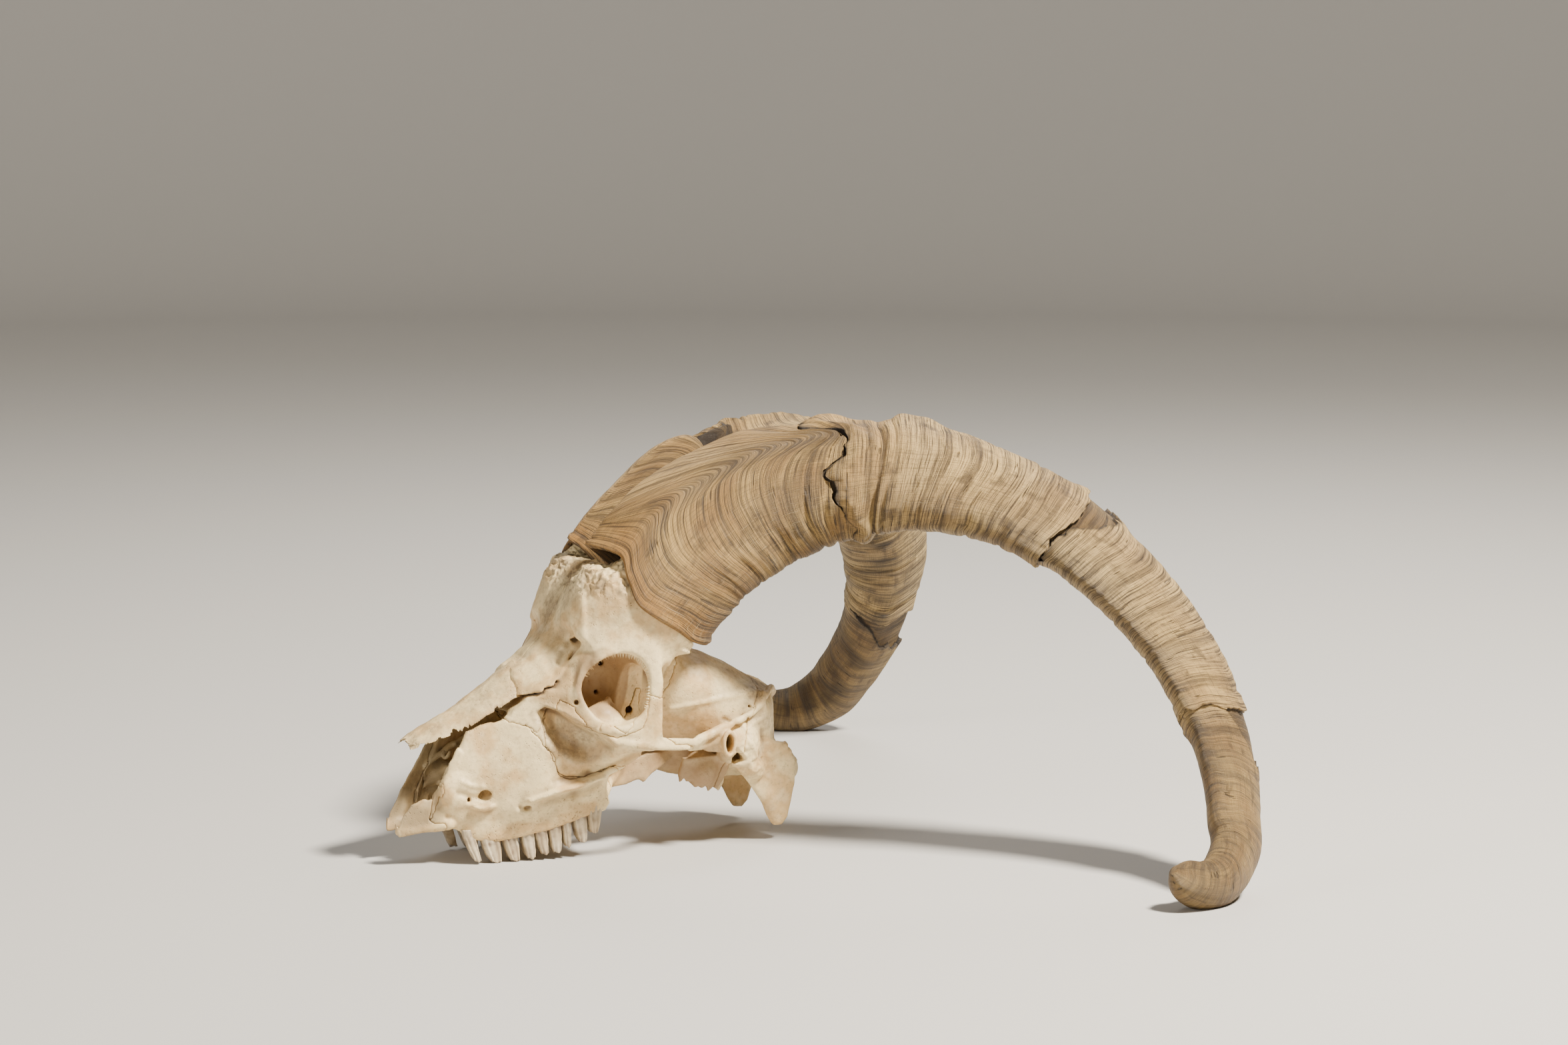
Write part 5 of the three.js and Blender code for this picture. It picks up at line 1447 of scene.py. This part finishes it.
def nasal(side):
    """A nasal bone: an arch z = top - drop (1 - sqrt(1 - v^2))^0.8 over its half width, thick in the
    middle and thin at its edges, whose front and side edges break into short spikes."""
    rows, around = ((300, 72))
    u = np.linspace(0, 1, rows)
    turn = np.arange(around) / around * 2 * math.pi
    x = -177 + 64 * u
    top, half, drop = (a[:, None] for a in through(NASAL[:, 0], NASAL[:, 1:], x).T)
    v = (0.5 - 0.5 * np.cos(turn))[None]   # 0 on the middle line, 1 at the side edge
    under = np.sin(turn)[None] < 0
    saw = np.abs(((u * 31 + 1.1 * cloud(pad(u * 40, 0 * u), 9)) % 1.0) - 0.5) * 2
    spikes = 0.6 * (0.02 + 0.08 * np.abs(cloud(pad(u * 30, 0 * u + 2), 10))) * saw * ease(0.75, 0.50, u)
    spikes = spikes + 0.02 * saw + 0.05 * layered(pad(u * 22, 0 * u), 12, 3)
    thick = (1.5 * (1 - v**3) + 0.28) * (0.5 + 0.5 * ease(0.0, 0.15, u))[:, None]
    y = 0.12 + half * (1 - spikes[:, None]) * v
    share = np.clip(y / half, 0, 0.995)
    z = top - drop * (1 - np.sqrt(1 - share**2)) ** 0.8
    lean = np.arctan2(drop * share, half * np.sqrt(1 - share**2 + 0.02))
    shift = np.where(under, thick, 0)
    fork = 3.5 * np.abs(((v * 3.5) % 1.0) - 0.5) * ease(0.10, 0.0, u)[:, None]
    inward = np.maximum(y - shift * np.sin(lean), 0.12)
    co = np.stack([x[:, None] + fork + 0 * y, inward * side, z - shift * np.cos(lean)], -1)
    rough = layered(co / 8.0, 33, 3)
    edge = 0.6 * ease(0.93, 1.0, v) * ease(0.35, 0.6, u)[:, None]
    # The underside and the side edges get the hollow mark: dirt and painted shade.
    marks = {
        "hollow": np.clip(np.where(under, 0.35, 0.0) + edge, 0, 1), "porous": 0.35 + 0.4 * rough,
        "stain_and_shade": np.clip(0.30 + 0.35 * rough, 0, 0.6) * ~under, "olive": np.where(under, 0.6, 0.10),
        "warm_tone_and_shade": 0.12, "dark": 0.0,
    }
    relief = 0.18 * layered(co / 5.0, 35, 3)
    co[..., 2] += relief * ~under + relief
    return with_marks(co, marks, tube_faces(rows, around, flip=side > 0))


for word, side in SIDES.items():
    points, faces, marks = nasal(side)
    piece(f"nasal_bone_{word}", points, faces, BONE, [f"nasal_{word}"], marks)


# --------------------------------------------------------------------------- teeth

# x of the crown's front and back edge and z at the gum; the same at the tip; y of the cheek side; depth
# across.
CROWNS = (
    (-149.4, -143.6, 13.9, -144.3, -139.6, 1.1, 22.0, 6.0),
    (-139.6, -129.4, 11.8, -135.6, -127.6, 0.3, 22.8, 7.5),
    (-128.4, -119.6, 13.3, -124.2, -117.6, 0.25, 24.0, 8.5),
    (-117.7, -110.6, 15.2, -115.0, -108.9, 1.0, 25.5, 10.5),
    (-110.3, -103.5, 15.9, -107.1, -102.3, 3.1, 27.0, 10.5),
    (-102.8, -95.6, 18.1, -100.7, -95.0, 3.8, 28.0, 11),
    (-95.3, -90.4, 19.6, -93.8, -89.9, 6.7, 29.0, 10.5),
    (-88.9, -81.3, 23.8, -86.3, -80.8, 8.5, 30.0, 10.5),
    (-81.1, -72.6, 27.5, -79.9, -74.6, 13.3, 31.0, 10),
)


def crown(side, front, back, gum, tip_front, tip_back, tip, cheek, depth, seed):
    """A cheek tooth: a rounded box carried from root to tip, with a rib between two folds on its cheek
    side and cusps that end in a point towards the cheek."""
    rows, around = 30, 56
    u = np.linspace(-0.45, 1, rows)[:, None]
    s = np.arange(around) / around * 2 * math.pi
    cx, sx = np.cos(s)[None], np.sin(s)[None]
    box_x, box_y = (np.sign(c) * np.abs(c) ** 0.55 for c in (cx, sx))
    cheek_side = ease(0.2, 0.9, sx)
    wave = np.cos(box_x * 2 * math.pi * (1.0 if back - front < 8 else 1.5))
    middle = (front + back) / 2 + ((tip_front + tip_back) / 2 - (front + back) / 2) * u
    half_gum, half_tip = 1.06 * (back - front) / 2, 0.80 * (tip_back - tip_front) / 2
    half = half_gum + (half_tip - half_gum) * np.clip(u, 0, 1) ** 1.6
    x = middle + half * (1 - 0.10 * ease(0, 0.5, -u)) * box_x
    taper = 1 - 0.25 * np.clip(u, 0, 1) ** 2 * (sx < 0)
    y = cheek - depth / 2 + (depth / 2) * box_y * taper + 0.38 * wave * cheek_side * ease(-0.4, 0.2, u)
    cusps = 1.9 * (1 - box_y) / 2 + 0.9 * np.abs(box_x) ** 1.5 * cheek_side
    cusps = cusps + 0.3 * cloud(pad(s[None] * 3, u * 3), seed)
    z = gum + (tip - gum) * u + np.clip((u - 0.80) / 0.20, 0, 1) * cusps
    co = np.stack(np.broadcast_arrays(x, y * side, z), -1)
    co = co + 0.16 * np.stack([layered(co / 2.2 + k * 5, seed + k, 2) for k in range(3)], -1)
    co[..., 2] = np.maximum(co[..., 2], 0.05)
    fold = (0.42 * ease(0.1, -0.6, wave) * cheek_side + 0.35 * (1 - cheek_side) + 0.35 * bump(u, 0.05, 0.12)
            + 0.3 * ease(0.75, 1, u) + 0.25 * layered(co / 3.0, seed, 2))
    faces = tube_faces(rows, around, flip=side > 0)
    points, faces, marks = with_marks(co, {"fold": np.clip(fold, 0, 1)}, faces)
    points[-1, 2] += 0.8
    return points, faces, marks["fold"]


for word, side in SIDES.items():
    points, faces, folds, start = [], [], [], 0
    for k, shape in enumerate(CROWNS):
        co, parts, fold = crown(side, *shape, 130 + 7 * k + (side > 0))
        points.append(co)
        folds.append(fold)
        faces += [f + start for f in parts]
        start += len(co)
    piece(f"tooth_row_{word}", np.concatenate(points), faces, ENAMEL, [f"maxilla_{word}"],
          {"fold": np.concatenate(folds)})


# --------------------------------------------------------------------------- floor, light and camera

def studio():
    """A pale round floor that rises into a wall all around."""
    columns = 96
    bend = np.linspace(0, math.pi / 2, 12)
    radius = np.r_[0.5, 1.5, 3.2 + 0.9 * np.sin(bend), 4.1][:, None]
    height = np.r_[0, 0, 0.9 * (1 - np.cos(bend)), 3.2][:, None]
    turn = np.arange(columns) / columns * 2 * math.pi
    co = np.stack([radius * np.cos(turn), radius * np.sin(turn), height + 0 * turn], -1).reshape(-1, 3)
    i, j = np.meshgrid(np.arange(len(radius) - 1) * columns, np.arange(columns), indexing="ij")
    after = (j + 1) % columns
    quads = np.stack([i + j, i + columns + j, i + columns + after, i + after], -1).reshape(-1, 4)
    faces = [tuple(range(columns))] + quads.tolist()
    paper, _, shader = begin("paper", 0.9)
    shader.inputs["Base Color"].default_value = (0.52, 0.51, 0.495, 1)
    mesh = bpy.data.meshes.new("floor")
    mesh.from_pydata(co.tolist(), [], faces)
    mesh.polygons.foreach_set("use_smooth", np.ones(len(faces), bool))
    mesh.materials.append(paper)
    floor = bpy.data.objects.new("floor", mesh)
    bpy.context.scene.collection.objects.link(floor)


# Azimuth, elevation and range of the camera from what it looks at, in degrees and metres.
CAMERA_AZIMUTH, CAMERA_ELEVATION, CAMERA_RANGE = -24.0, 8.0, 2.452
AIM = Vector((0.027, 0.0, 0.175))
a, e = math.radians(CAMERA_AZIMUTH), math.radians(CAMERA_ELEVATION)
AWAY = Vector((math.sin(a) * math.cos(e), -math.cos(a) * math.cos(e), math.sin(e)))
ASIDE, UP = Vector((math.cos(a), math.sin(a), 0)), Vector((0, 0, 1))
ROOM_LIGHT = 0.06


def place(name, data, at):
    """An object at a place from which it looks at AIM."""
    made = bpy.data.objects.new(name, data)
    made.location = at
    made.rotation_euler = (AIM - at).to_track_quat("-Z", "Y").to_euler()
    bpy.context.scene.collection.objects.link(made)
    return made


def lamp(name, aside, away, up, size, power, colour):
    """A round lamp, placed from AIM by metres to the camera's right, towards the camera and up."""
    light = bpy.data.lights.new(name, "AREA")
    light.shape, light.size, light.energy, light.color = "DISK", size, power, colour
    place(name, light, AIM + ASIDE * aside + AWAY * away + UP * up)


def room():
    """An even, faint light from all around."""
    world = bpy.data.worlds.new("room")
    world.use_nodes = True
    background = world.node_tree.nodes["Background"]
    background.inputs[0].default_value = (1, 1, 1, 1)
    background.inputs[1].default_value = ROOM_LIGHT
    bpy.context.scene.world = world


studio()
lens = bpy.data.cameras.new("camera")
lens.lens, lens.sensor_width, lens.clip_end = 100, 36, 50
bpy.context.scene.camera = place("camera", lens, AIM + AWAY * CAMERA_RANGE)
lamp("key", 1.10, 0.75, 1.55, 0.36, 178, (1.0, 0.92, 0.79))
lamp("fill", -1.6, 1.2, 0.5, 0.8, 13, (1.0, 0.95, 0.88))
lamp("rim", 0.3, -1.2, 1.3, 1.0, 14, (1.0, 0.96, 0.9))
room()
